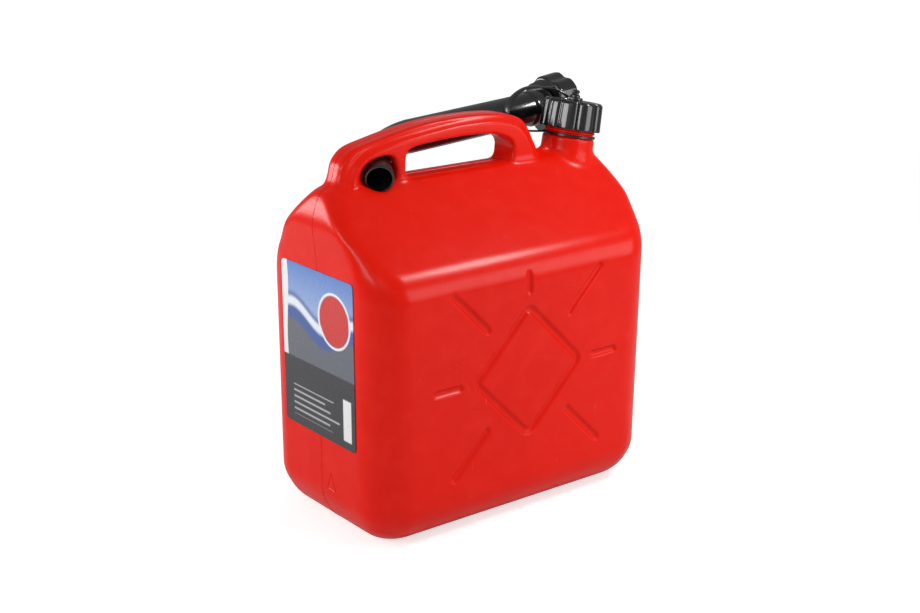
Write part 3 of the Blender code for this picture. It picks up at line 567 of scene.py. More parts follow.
def loft_sections(levels, inset):
    """The tank's skin. Where its corners are rounder than the CAD model's, its ends reach out for it."""
    rings = []
    most = HALF_LENGTH - inset
    for height, half_width, half_length in levels:
        radius = corner_radius(inset, half_width, SKIN_CORNER)
        rounder = max(radius - corner_radius(inset, half_width, CAD_CORNER), 0.0)
        drawn_in = most - half_length
        short = drawn_in - CORNER_FILL_SHARE * rounder
        filled = most - (short + hypot(short, min(drawn_in, CORNER_FILL_SOFTNESS))) / 2.0
        at_neck = 1.0 + end_swell(height, NECK_END_SWELL) / filled
        at_label = 1.0 + end_swell(height, LABEL_END_SWELL) / filled
        ring = rounded_rectangle(filled, half_width, radius, height)
        rings.append([(x * (at_neck if x > 0.0 else at_label), y, z) for x, y, z in ring])
    return mesh_from_rings(rings)


def cavity_levels(levels, wall):
    """The tank's sections moved in by the wall."""
    inner = []
    for k, (z, width, length) in enumerate(levels):
        before, after = levels[max(k - 1, 0)], levels[min(k + 1, len(levels) - 1)]
        along = Vector((after[0] - before[0], after[1] - before[1])).normalized()
        if k == 0:
            along = Vector((0.0, 1.0))
        if k == len(levels) - 1:
            along = Vector((0.0, -1.0))
        end_wall = wall * max(along.x, END_WALL_SHARE)
        inner.append((z + wall * along.y, width - wall * along.x, length - end_wall))
    return [row for k, row in enumerate(inner) if k == 0 or row[0] > inner[k - 1][0] + LEVEL_GAP]


def from_handle_shares(shares, steps=1, closed=False):
    left = -HALF_LENGTH + HANDLE_SETBACK
    low = CREST_HEIGHT - HANDLE_SINK
    shares = [(across / 1000.0, up / 1000.0) for across, up in shares]
    points = [Vector((left + HANDLE_SPAN * across, low + HANDLE_RISE * up)) for across, up in shares]
    return curve_through(points, steps, closed) if steps > 1 else points


def clear_ends(curve, edge):
    """Drops the points next to a curve's ends, where a rounded rim would cross itself."""
    first, last = curve[0], curve[-1]
    room = RIM_ROOM_SHARE * edge
    return [first, *(p for p in curve if min((p - first).length, (p - last).length) > room), last]


def hole_mesh(shares):
    outline = from_handle_shares(shares, HOLE_STEPS, closed=True)
    return plate(outline, HANDLE_WIDTH, round_rim(HOLE_EDGE), flare=True)


def narrow_to_back(mesh):
    """Draws the spout's hole in towards its right end, from the front face to the back face."""
    right = max(p.x for p in from_handle_shares(SPOUT_HOLE_SHARES, HOLE_STEPS, closed=True))
    for vertex in mesh.vertices:
        share = min(max(0.5 + vertex.co.y / HANDLE_WIDTH, 0.0), 1.0)
        length_share = 1.0 + (SPOUT_HOLE_BACK_SHARE - 1.0) * share
        vertex.co.x = right - (right - vertex.co.x) * length_share


def spine_mesh():
    top = from_handle_shares(SPINE_SHARES)
    below = []
    for k, here in enumerate(top):
        along = direction(top, k)
        below.append(here + Vector((along.y, -along.x)) * SPINE_THICKNESS)
    top = clear_ends(curve_through(top, OUTLINE_STEPS), SPINE_EDGE)
    below = clear_ends(curve_through(below, OUTLINE_STEPS), SPINE_EDGE)
    return plate([*below, *top[::-1]], SPINE_WIDTH, round_rim(SPINE_EDGE))


def boss_mesh():
    profile = [(BOSS_TOP_RADIUS - BOSS_EDGE, -BOSS_DEPTH)]
    for step in range(ARC_STEPS, -1, -1):
        share = step / ARC_STEPS
        radius = BOSS_TOP_RADIUS + BOSS_FLARE * share ** 2
        profile.append((radius, -BOSS_STRAIGHT - BOSS_FLARE_DEPTH * share))
    profile += [(BOSS_TOP_RADIUS, -BOSS_EDGE), (BOSS_TOP_RADIUS - BOSS_EDGE, 0.0)]
    return turned(profile)


def groove_section():
    slope = (GROOVE_WIDTH - GROOVE_FLOOR_WIDTH) / (2.0 * GROOVE_DEPTH)
    mouth = GROOVE_WIDTH / 2.0 + slope * GROOVE_OVERRUN
    return [(mouth, -GROOVE_OVERRUN), (GROOVE_FLOOR_WIDTH / 2.0, GROOVE_DEPTH)]


def groove_pieces():
    rays = [(0.25 * pi + QUARTER * k, *DIAGONAL_RAY) for k in range(4)]
    rays += [(0.0, *SIDE_RAY), (pi, *SIDE_RAY), (QUARTER, *TOP_RAY)]
    pieces = []
    for turn, start, end in rays:
        length = end - start - GROOVE_WIDTH
        rings = []
        for radius, level in groove_section():
            points = arc(length, 0.0, radius, -QUARTER, QUARTER)
            points += arc(0.0, 0.0, radius, QUARTER, 1.5 * pi)
            rings.append([(x, level, z) for x, z in points])
        place = Matrix.Rotation(-turn, 4, "Y") @ Matrix.Translation((start + GROOVE_WIDTH / 2.0, 0.0, 0.0))
        pieces.append((False, [[place @ Vector(point) for point in ring] for ring in rings]))
    mouth, floor = groove_section()
    rings = []
    for side, (half, level) in ((-1.0, mouth), (-1.0, floor), (1.0, floor), (1.0, mouth)):
        outline = offset_outline(diamond_outline(), side * half)
        rings.append([(x, level, z) for x, z in outline])
    pieces.append((True, rings))
    return pieces


def diamond_outline():
    inner = DIAMOND_REACH - DIAMOND_CORNER_RADIUS * sqrt(2.0)
    outline = []
    for quarter in range(4):
        middle = QUARTER * quarter
        outline += arc(inner * cos(middle), inner * sin(middle), DIAMOND_CORNER_RADIUS,
                       middle - 0.25 * pi, middle + 0.25 * pi, EDGE_STEPS)
    return outline


def grooves_mesh():
    grooves = []
    for side in (-1.0, 1.0):
        place = Matrix.Translation((PATTERN_OFFSET, side * HALF_WIDTH, PATTERN_HEIGHT))
        for closed, rings in groove_pieces():
            mesh = mesh_from_rings(rings, closed)
            if side > 0.0:
                mesh.transform(place @ Matrix.Scale(-1.0, 4, (0.0, 1.0, 0.0)))
                mesh.flip_normals()
            else:
                mesh.transform(place)
            grooves.append(mesh)
    return joined_mesh(grooves)


def seam_recess_mesh():
    half = SEAM_RECESS_WIDTH / 2.0
    depth = SEAM_RECESS_DEPTH
    radius = (half ** 2 + depth ** 2) / (2.0 * depth)
    reach = asin(half / radius)
    top = arc(0.0, depth - radius, radius, QUARTER - reach, QUARTER + reach)
    section = [(half, -CUT_OVERRUN), *top, (-half, -CUT_OVERRUN)]
    end = HALF_LENGTH + CUT_OVERRUN
    return mesh_from_rings([[(x, y, z) for y, z in section] for x in (-end, end)])


def tube_rings(path, radii):
    """Rings square to a path, carried along it without twist."""
    rings = []
    turns = [tau * k / TUBE_SIDES for k in range(TUBE_SIDES)]
    side = UP
    for k, (here, radius) in enumerate(zip(path, radii)):
        along = direction(path, k)
        side = (side - along * side.dot(along)).normalized()
        other = along.cross(side)
        rings.append([here + radius * (cos(turn) * side + sin(turn) * other) for turn in turns])
    return rings


def spout_lines():
    """The middle of the rim, and the ways that the tip and the main length run."""
    rim_x = -HALF_LENGTH + HANDLE_SETBACK + HANDLE_SPAN * SPOUT_TIP_SHARE
    rim = Vector((rim_x, -SPOUT_REACH, CREST_HEIGHT + SPOUT_RIM_RISE))
    tip = heading(SPOUT_TIP_TURN, SPOUT_TIP_SLOPE)
    return rim, tip, Vector((1.0, SPOUT_SPREAD, SPOUT_CLIMB)).normalized()


def spout_path(overrun=0.0):
    """Points and outer radii along the spout, rim to flange, in the can's frame."""
    rim, tip, main = spout_lines()
    corner = rim + tip * SPOUT_TIP_RUN
    bend = tip.angle(main)
    tangent = SPOUT_BEND_RADIUS * tan(bend / 2.0)
    inward = (main - tip * main.dot(tip)).normalized()
    center = corner - tip * tangent + inward * SPOUT_BEND_RADIUS
    points = [rim - tip * overrun]
    radii = [SPOUT_TIP_RADIUS]
    for step in range(BEND_STEPS + 1):
        share = step / BEND_STEPS
        turn = bend * share
        across = inward * SPOUT_BEND_RADIUS * cos(turn)
        points.append(center - across + tip * SPOUT_BEND_RADIUS * sin(turn))
        radii.append(SPOUT_TIP_RADIUS + (SPOUT_RADIUS - SPOUT_TIP_RADIUS) * share ** 2)
    return [*points, corner + main * SPOUT_MAIN_RUN], [*radii, SPOUT_RADIUS]


def build_bar():
    """The handle's bar with its two holes."""
    outline = clear_ends(from_handle_shares(BAR_SHARES, OUTLINE_STEPS), HANDLE_RIM[0][0])[::-1]
    bar = add_object("bar", plate(outline, HANDLE_WIDTH, HANDLE_RIM))
    spout_hole = hole_mesh(SPOUT_HOLE_SHARES)
    narrow_to_back(spout_hole)
    combine(bar, "grip_hole", hole_mesh(GRIP_HOLE_SHARES), "DIFFERENCE")
    combine(bar, "spout_hole", spout_hole, "DIFFERENCE")
    return bake(bar)


def add_bosses(tank, in_neck):
    """Joins the lug, the gusset and the neck's boss to the tank."""
    lug = plate(from_handle_shares(LUG_SHARES), LUG_WIDTH, round_rim(LUG_EDGE))
    combine(tank, "lug", lug, "UNION")
    outline = [(NECK_OFFSET + x, CREST_HEIGHT + NECK_HEIGHT + z) for x, z in GUSSET_OUTLINE]
    gusset = plate(outline, GUSSET_WIDTH, round_rim(GUSSET_EDGE))
    combine(tank, "gusset", gusset, "UNION")
    combine(tank, "boss", boss_mesh(), "UNION", in_neck)


def build_tank():
    """The tank with its handle, and the chains of points along its mould's seam."""
    levels = tank_levels()
    in_neck = IN_CAN.inverted() @ IN_NECK
    tank = add_object("tank", loft_sections(levels, 0.0))
    bar = build_bar()
    combine(tank, "handle_bar", bar.data, "UNION")
    bpy.data.objects.remove(bar)
    combine(tank, "spine", spine_mesh(), "UNION")
    add_bosses(tank, in_neck)
    combine(tank, "grooves", grooves_mesh(), "DIFFERENCE")
    combine(tank, "seam_recess", seam_recess_mesh(), "DIFFERENCE")
    points, radii = spout_path(SPOUT_CLEARANCE)
    room = mesh_from_rings(tube_rings(points, [r + SPOUT_CLEARANCE for r in radii]))
    combine(tank, "spout_room", room, "DIFFERENCE")
    remesh = tank.modifiers.new("remesh", "REMESH")
    remesh.mode = "VOXEL"
    remesh.voxel_size = VOXEL
    bake(tank)
    soften(tank)
    tank.modifiers.new("decimate", "DECIMATE").ratio = KEPT_FACES_SHARE
    bake(tank)
    seam = seam_lines(tank.data)
    cavity = loft_sections(cavity_levels(levels, CAVITY_WALL), CAVITY_WALL)
    combine(tank, "cavity", cavity, "DIFFERENCE")
    bore_radius = NECK_BORE_RADIUS + TANK_BORE_GAP
    bore = turned([(bore_radius, -BOSS_DEPTH), (bore_radius, CUT_OVERRUN)])
    combine(tank, "bore", bore, "DIFFERENCE", in_neck)
    return finished(tank, IN_CAN, TANK_SMOOTH_LIMIT), seam


def fade(value, full, none):
    """1 up to full, falling to 0 at none."""
    return min(max((none - value) / (none - full), 0.0), 1.0)


def fillet_share(spot):
    """How much a point is smoothed, at the handle's left foot, the neck's boss and the label end's hips."""
    at_crest = fade(abs(spot.z - FILLET_HEIGHT), 0.0, FILLET_REACH)
    at_crest *= fade(abs(spot.y), *CREST_FILLET_WIDTH) * fade(-spot.x, *CREST_FILLET_END)
    local = IN_NECK.inverted() @ (IN_CAN @ spot)
    off_boss = abs(hypot(local.x, local.y) - BOSS_RADIUS)
    at_boss = fade(off_boss, *BOSS_FILLET_REACH) * fade(local.z, *BOSS_FILLET_TOP)
    at_boss *= fade(-local.z, *BOSS_FILLET_FOOT)
    at_hips = fade(-abs(spot.x), *HIP_FILLET_END) * fade(-spot.z, *HIP_FILLET_FOOT)
    at_hips *= fade(spot.x, *HIP_FILLET_SIDE)
    return max(at_crest, at_boss, at_hips)


def soften(tank):
    """Rounds the remeshed edges, and more so at the fillets."""
    group = tank.vertex_groups.new(name="fillet")
    for vertex in tank.data.vertices:
        if vertex.co.z > FILLET_LOW:
            share = fillet_share(vertex.co)
            if share > 0.0:
                group.add([vertex.index], share, "REPLACE")
    fillet = tank.modifiers.new("fillet", "SMOOTH")
    fillet.iterations = FILLET_PASSES
    fillet.vertex_group = "fillet"
    soft = tank.modifiers.new("soft", "SMOOTH")
    soft.iterations = SOFTENING_PASSES
    bake(tank)


def seam_lines(mesh):
    """Closed chains of points where the mould's two halves met: the mesh cut at y = 0."""
    shape = bmesh.new()
    shape.from_mesh(mesh)
    everything = [*shape.verts, *shape.edges, *shape.faces]
    bmesh.ops.bisect_plane(shape, geom=everything, plane_co=(0.0, 0.0, 0.0), plane_no=(0.0, 1.0, 0.0),
                           clear_inner=True, clear_outer=True)
    chains = []
    seen = set()
    for first in shape.verts:
        chain = [first]
        while chain[-1] not in seen:
            seen.add(chain[-1])
            beside = [edge.other_vert(chain[-1]) for edge in chain[-1].link_edges]
            chain += [vert for vert in beside if vert not in seen][:1]
        if len(chain) > SEAM_LEAST_POINTS and first in beside:
            chains.append([vert.co.copy() for vert in chain])
    shape.free()
    return chains


def bead(name, chains, radius, place):
    """Thin round beads along closed chains of points."""
    turns = [tau * side / BEAD_SIDES for side in range(BEAD_SIDES)]
    beads = []
    for chain in chains:
        rings = []
        for k, here in enumerate(chain):
            along = (chain[(k + 1) % len(chain)] - chain[k - 1]).normalized()
            across = Vector((0.0, 1.0, 0.0)) if abs(along.y) < NEARLY_ALONG else Vector((1.0, 0.0, 0.0))
            other = along.cross(across).normalized()
            across = other.cross(along)
            rings.append([here + radius * (cos(t) * across + sin(t) * other) for t in turns])
        beads.append(mesh_from_rings(rings, closed=True))
    mesh = joined_mesh(beads)
    mesh.shade_smooth()
    return add_object(name, mesh, place)


# Neck, cap, nut

def helix_ridge(wall_radius, height, first, turns, outward):
    """A screw thread's ridge on a wall of that radius, its centre line rising from first."""
    steps = round(turns * THREAD_SIDES)
    sign = 1.0 if outward else -1.0
    rings = []
    for step in range(steps + 1):
        turn = tau * (step + THREAD_PHASE_SHARE) / THREAD_SIDES
        rise = first + THREAD_LEAD * step / THREAD_SIDES
        grown = min(1.0, THREAD_FIRST_GROWTH + min(step, steps - step) / THREAD_GROWTH_STEPS)
        upper = [(wall_radius - sign * THREAD_ROOT_SINK, THREAD_BASE_WIDTH / 2.0)]
        for reach, width in THREAD_FLANK:
            upper.append((wall_radius + sign * height * grown * reach, THREAD_TIP_WIDTH * width))
        section = [*((r, -z) for r, z in upper), *upper[::-1]]
        rings.append([(r * cos(turn), r * sin(turn), rise + z) for r, z in section])
    return mesh_from_rings(rings)


def build_neck():
    lip = NECK_LIP
    bead_reach = NECK_RADIUS + THREAD_HEIGHT
    low_side = [(bead_reach - inset, NECK_BEAD_LOW + rise) for inset, rise in NECK_BEAD_ROUND]
    high_side = [(bead_reach - inset, NECK_BEAD_HIGH - rise) for inset, rise in NECK_BEAD_ROUND[::-1]]
    profile = [
        (NECK_RADIUS, -NECK_SINK), (NECK_RADIUS, NECK_BEAD_LOW), *low_side,
        *high_side, (NECK_RADIUS, NECK_BEAD_HIGH),
        (NECK_RADIUS, NECK_LENGTH - lip), (NECK_RADIUS - lip, NECK_LENGTH),
        (NECK_BORE_RADIUS + lip, NECK_LENGTH), (NECK_BORE_RADIUS, NECK_LENGTH - lip),
        (NECK_BORE_RADIUS, -NECK_SINK),
    ]
    neck = add_object("neck", turned(profile, closed=True))
    ridge = helix_ridge(NECK_RADIUS, THREAD_HEIGHT, THREAD_START, NECK_THREAD_TURNS, True)
    combine(neck, "ridge", ridge, "UNION")
    return finished(neck, IN_NECK)


def lobed_ring(radius, height, lobes, depth_share=1.0):
    """A ring of crowned lobes parted by flutes; see CAP_LOBES for what lobes holds."""
    count, phase_share, depth, half_width, crown, swell = lobes
    half_pitch = pi * radius / count
    ring = []
    for k in range(count * LOBE_POINTS):
        place = (k + 0.5) / LOBE_POINTS
        turn = tau * (place + phase_share) / count
        off = 2.0 * half_pitch * abs(place % 1.0 - 0.5)
        fall = depth * (0.5 + 0.5 * cos(pi * min(off / half_width, 1.0)))
        fall += crown * (1.0 - min(off / half_pitch, 1.0)) ** 2
        reach = radius + swell - depth_share * fall
        ring.append((reach * cos(turn), reach * sin(turn), height))
    return ring


def lobed_skirt(name, height, top_bore, lobes):
    """A cap or nut from its rim up: lobed outside, stepped and bored inside, with its thread."""
    wall_radius = NECK_RADIUS + THREAD_HEIGHT + THREAD_RADIAL_GAP
    seat_radius = NECK_RADIUS + 2.0 * THREAD_RADIAL_GAP
    seat = height - CAP_TOP_THICKNESS
    step = seat - SEAL_THICKNESS - THREAD_BASE_WIDTH
    knee = height - CAP_TOP_ROUND
    shares = [k / SKIRT_STEPS for k in range(SKIRT_STEPS + 1)]
    outside = [lobed_ring(CAP_RIM_RADIUS - inset, rise, lobes) for inset, rise in SKIRT_RIM]
    for share in shares:
        radius = CAP_RIM_RADIUS + (CAP_TOP_RADIUS - CAP_RIM_RADIUS) * share
        outside.append(lobed_ring(radius, SKIRT_WALL_START + (knee - SKIRT_WALL_START) * share, lobes))
    for share in shares[1:]:
        radius = CAP_TOP_RADIUS - CAP_TOP_ROUND * (1.0 - cos(QUARTER * share))
        rise = knee + CAP_TOP_ROUND * sin(QUARTER * share)
        outside.append(lobed_ring(radius, rise, lobes, 1.0 - share ** LOBE_FADE_POWER))
    skirt = add_object(name, mesh_from_rings(outside))
    inside = [
        (wall_radius, -CUT_OVERRUN), (wall_radius, step - THREAD_RADIAL_GAP),
        (seat_radius, step + THREAD_HEIGHT), (seat_radius, seat),
    ]
    if top_bore > 0.0:
        inside += [(top_bore, seat), (top_bore, height + CUT_OVERRUN)]
    combine(skirt, "inside", turned(inside), "DIFFERENCE")
    pitch_back = (THREAD_BASE_WIDTH + THREAD_TIP_WIDTH) / 2.0 + THREAD_FLANK_GAP
    turns_up = ceil((CAP_STAND - THREAD_START + pitch_back + THREAD_TIP_WIDTH) / THREAD_LEAD)
    first = THREAD_START + turns_up * THREAD_LEAD - pitch_back - CAP_STAND
    reach = wall_radius - NECK_RADIUS - THREAD_RADIAL_GAP
    ridge = helix_ridge(wall_radius, reach, first, CAP_THREAD_TURNS, False)
    combine(skirt, "ridge", ridge, "UNION")
    return skirt


def build_cap():
    cap = lobed_skirt("cap", CAP_HEIGHT, 0.0, CAP_LOBES)
    combine(cap, "dish", turned([(r, CAP_HEIGHT + z) for r, z in CAP_DISH]), "DIFFERENCE")
    head = CAP_HEIGHT + STRAP_EYE_HEIGHT + 2.0 * FIT_GAP
    profile = [(r, CAP_HEIGHT + z) for r, z in PIN_FOOT]
    profile += [(PIN_SHANK_RADIUS, CAP_HEIGHT), (PIN_SHANK_RADIUS, head)]
    profile += [(r, head + z) for r, z in PIN_HEAD]
    combine(cap, "pin", turned(profile, PIN_SIDES), "UNION")
    return finished(cap, IN_CAP)


def build_nut(in_spout):
    seat = NUT_HEIGHT - CAP_TOP_THICKNESS
    nut = lobed_skirt("nut", NUT_HEIGHT, SPOUT_RADIUS + SPOUT_CLEARANCE, NUT_LOBES)
    stand = Matrix.Translation((0.0, 0.0, SPOUT_FLANGE_THICKNESS + FIT_GAP - seat))
    return finished(nut, in_spout @ stand)


# Strap

def rounded_band(width):
    """The strap's section: (across, up) pairs with half-round sides."""
    radius = STRAP_THICKNESS / 2.0
    middle = width / 2.0 - radius
    right = arc(middle, 0.0, radius, -QUARTER, QUARTER, STRAP_EDGE_STEPS)
    return right + arc(-middle, 0.0, radius, QUARTER, 1.5 * pi, STRAP_EDGE_STEPS)


def soft_ring(inner, outer, low, height):
    """The profile of a ring with small bevels."""
    edge = STRAP_RING_EDGE
    high = low + height
    return [
        (inner, low + edge), (inner + edge, low), (outer - edge, low), (outer, low + edge),
        (outer, high - edge), (outer - edge, high), (inner + edge, high), (inner, high - edge),
    ]


def build_strap():
    """A ring round the neck, a band that stands in its curve, and an eye round the cap's pin."""
    inner = NECK_RADIUS + THREAD_RADIAL_GAP
    profile = soft_ring(inner, inner + STRAP_RING_WALL, FIT_GAP, STRAP_RING_HEIGHT)
    strap = add_object("strap", turned(profile, closed=True), IN_NECK)
    eye_low = CAP_STAND + CAP_HEIGHT + FIT_GAP
    profile = soft_ring(PIN_SHANK_RADIUS + FIT_GAP, STRAP_EYE_RADIUS, eye_low, STRAP_EYE_HEIGHT)
    eye = turned(profile, EYE_SIDES, closed=True)
    seat = Vector((NECK_OFFSET, 0.0, CREST_HEIGHT + NECK_HEIGHT))
    route = [seat + NECK_LENGTH * Vector(shares) for shares in STRAP_ROUTE_SHARES]
    route = curve_through(route, STRAP_STEPS)
    rings = []
    for k, here in enumerate(route):
        along = direction(route, k)
        side = Vector((0.0, 1.0, 0.0))
        side = (side - along * side.dot(along)).normalized()
        up = along.cross(side).normalized()
        share = min(k / (len(route) - 1) / (2.0 * STRAP_BELLY_PLACE), 1.0)
        width = STRAP_WIDTH * (STRAP_END_SHARE + STRAP_BELLY_SHARE * sin(pi * share) ** 2)
        rings.append([here + side * a + up * b for a, b in rounded_band(width)])
    combine(strap, "band", mesh_from_rings(rings), "UNION", IN_CAN)
    combine(strap, "eye", eye, "UNION", IN_NECK)
    bake(strap)
    smooth_faces(strap.data)
    return strap


# Spout

def spout_place():
    """The flange's outer face, Z pointing back along the tube, in the model's frame."""
    points, _ = spout_path()
    _, _, main = spout_lines()
    turn = UP.rotation_difference(-main).to_matrix().to_4x4()
    return IN_CAN @ Matrix.Translation(points[-1]) @ turn


def build_spout():
    points, radii = spout_path()
    _, tip, main = spout_lines()
    start, end = points[-2:]
    outer_path = [points[0] + tip * SPOUT_LIP * along for along, _ in SPOUT_LIP_ROUND] + points[1:-1]
    outer_radii = [radii[0] - SPOUT_LIP * inset for _, inset in SPOUT_LIP_ROUND] + radii[1:-1]
    length = (end - start).length
    rows = [(share, SPOUT_RADIUS) for share in SPOUT_STRAIGHT_SHARES]
    rows += [(1.0 - back / length, SPOUT_RADIUS + growth) for back, growth in SPOUT_COLLAR]
    rows += [(1.0 - back / length, SPOUT_FLANGE_RADIUS + growth) for back, growth in SPOUT_FLANGE]
    outer_path += [start + main * length * share for share, _ in rows]
    outer_radii += [radius for _, radius in rows]
    outer = tube_rings(straighten(outer_path, main), outer_radii)
    inner = tube_rings(points, [radius - SPOUT_WALL for radius in radii])
    return add_object("spout", mesh_from_rings([*outer, *inner[::-1]], closed=True), IN_CAN)


def straighten(path, main):
    """Nudges points in one place apart, so that every ring has its own direction."""
    moved = [path[0]]
    for here in path[1:]:
        same = (here - moved[-1]).length < SAME_PLACE
        moved.append(here + main * NUDGE if same else here)
    return moved


# Label and moulded mark

def build_label():
    middle = LABEL_BOTTOM + LABEL_HEIGHT / 2.0
    near = -HALF_LENGTH - FIT_GAP
    far = near - LABEL_THICKNESS
    edge = LABEL_THICKNESS * LABEL_EDGE_SHARE
    half_width, half_height = LABEL_WIDTH / 2.0, LABEL_HEIGHT / 2.0
    rings = []
    for inset, level in ((0.0, near), (0.0, far + edge), (edge, far)):
        ring = rounded_rectangle(half_width - inset, half_height - inset, LABEL_CORNER_RADIUS, 0.0)
        rings.append([(level, y, middle + z) for y, z, _ in ring])
    return add_object("label", mesh_from_rings(rings), IN_CAN)


def build_mark():
    """A small moulded triangle under the label."""
    corners = [Vector((-HALF_LENGTH, y, z)) for y, z in MARK_CORNERS]
    chain = []
    for here, onward in zip(corners, corners[1:] + corners[:1]):
        chain += [here.lerp(onward, step / MARK_STEPS) for step in range(MARK_STEPS)]
    return bead("moulded_mark", [chain], MARK_BEAD_RADIUS, IN_CAN)


# Materials

class Paint:
    """The node tree of a material or a world, with short names for the nodes it is made of."""

    def __init__(self, made, shader):
        made.use_nodes = True
        self.made = made
        self.tree = made.node_tree
        self.inputs = self.tree.nodes[shader].inputs

    def put(self, socket, value):
        if isinstance(value, tuple):
            socket.default_value = (*value, 1.0)[:len(socket.default_value)]
        elif isinstance(value, float):
            socket.default_value = value
        else:
            self.tree.links.new(value, socket)

    def node(self, kind, values):
        """A node of that kind, its inputs set to values or linked to other nodes' outputs."""
        made = self.tree.nodes.new("ShaderNode" + kind)
        for name, value in values.items():
            self.put(made.inputs[name], value)
        return made

    def place(self):
        return self.node("TexCoord", {}).outputs["Object"]

    def noise(self, scale, detail, stretch=EVEN, warp=0.0):
        place = self.node("Mapping", {"Vector": self.place(), "Scale": stretch}).outputs["Vector"]
        values = {"Vector": place, "Scale": scale, "Detail": detail, "Distortion": warp}
        return self.node("TexNoise", values).outputs["Fac"]

    def remap(self, value, low, high, to_low=0.0, to_high=1.0):
        limits = {"From Min": low, "From Max": high, "To Min": to_low, "To Max": to_high}
        return self.node("MapRange", {"Value": value, **limits}).outputs["Result"]

    def math(self, operation, *values):
        node = self.node("Math", dict(enumerate(values)))
        node.operation = operation
        return node.outputs["Value"]

    def times(self, first, second):
        return self.math("MULTIPLY", first, second)

    def mix(self, share, first, second):
        node = self.node("Mix", {"Factor": share, 6: first, 7: second})
        node.data_type = "RGBA"
        return node.outputs[2]

    def stain(self, base, color, scale, detail, low, high, most=1.0, stretch=EVEN, warp=0.0):
        """Lays a colour over a base where a noise is high."""
        share = self.remap(self.noise(scale, detail, stretch, warp), low, high, 0.0, most)
        return self.mix(share, base, color)

    def relief(self, layers):
        """Bumps by noises: each has a scale, a detail, a depth, a strength, and may have a stretch."""
        below = {}
        for scale, detail, depth, strength, *stretch in layers:
            height = self.noise(scale, detail, *stretch)
            bump = self.node("Bump", {"Distance": depth, "Strength": strength, "Height": height, **below})
            below = {"Normal": bump.outputs["Normal"]}
        self.put(self.inputs["Normal"], below["Normal"])

    def cover(self, color, roughness, spread, layers):
        """Sets the colour, the bumps and a gloss of slow patches and fine scuffs, and gives the material."""
        self.put(self.inputs["Base Color"], color)
        self.relief(layers)
        patches = self.remap(self.noise(24.0, 4.0), 0.3, 0.7, roughness - spread, roughness + spread)
        scuffs = self.remap(self.noise(300.0, 5.0, (1.0, 1.0, 0.25)), 0.60, 0.80, 0.0, 2.0 * spread)
        self.put(self.inputs["Roughness"], self.math("ADD", patches, scuffs))
        return self.made

    def seen_only(self):
        """1 for what the camera sees, itself or through clear things, and 0 for what lights the scene."""
        path = self.node("LightPath", {}).outputs
        return self.math("MAXIMUM", path["Is Camera Ray"], path["Is Transmission Ray"])


def surface(name, color, roughness, specular=0.5):
    paint = Paint(bpy.data.materials.new(name), "Principled BSDF")
    values = {"Base Color": color, "Roughness": roughness, "Specular IOR Level": specular}
    for socket, value in values.items():
        paint.put(paint.inputs[socket], value)
    return paint


def red_plastic():
    """Blow-moulded polyethylene: satin, slightly uneven in colour and gloss, with a fine drawn grain."""
    paint = surface("red_plastic", RED, 0.28, 0.18)
    base = paint.stain(RED_DEEP, RED, 7.0, 2.0, 0.3, 0.7)
    base = paint.stain(base, RED_LIGHT, 60.0, 4.0, 0.45, 0.75, 0.5, warp=0.4)
    base = paint.stain(base, RED_WORN, 150.0, 6.0, 0.68, 0.80, 0.30, (1.0, 1.0, 3.0))
    drawn = (190.0, 3.0, 0.0001, 0.30, (0.35, 0.35, 2.2))
    return paint.cover(base, 0.235, 0.025, [(16.0, 2.0, 0.0012, 0.35), drawn, (1100.0, 3.0, 0.00006, 0.40)])


def black_plastic(name, roughness, grain):
    """Moulded polypropylene: black, glossy, with rubbed and dusty places."""
    paint = surface(name, BLACK, roughness, 0.8)
    base = paint.stain(BLACK, BLACK_DUSTY, 90.0, 5.0, 0.50, 0.78, 0.5, warp=0.5)
    base = paint.stain(base, BLACK_RUBBED, 420.0, 4.0, 0.66, 0.80, 0.5, (1.0, 1.0, 0.3))
    return paint.cover(base, roughness, 0.04, [(70.0, 2.0, 0.0002, 0.35), (1500.0, 3.0, grain, 0.5)])


def seal_material(name, color, roughness, scale, depth):
    """Foam or rubber: matte, speckled and porous."""
    paint = surface(name, color, roughness)
    base = paint.stain(tuple(0.7 * c for c in color), color, scale, 5.0, 0.35, 0.65)
    return paint.cover(base, roughness, 0.05, [(scale, 6.0, depth, 0.8)])


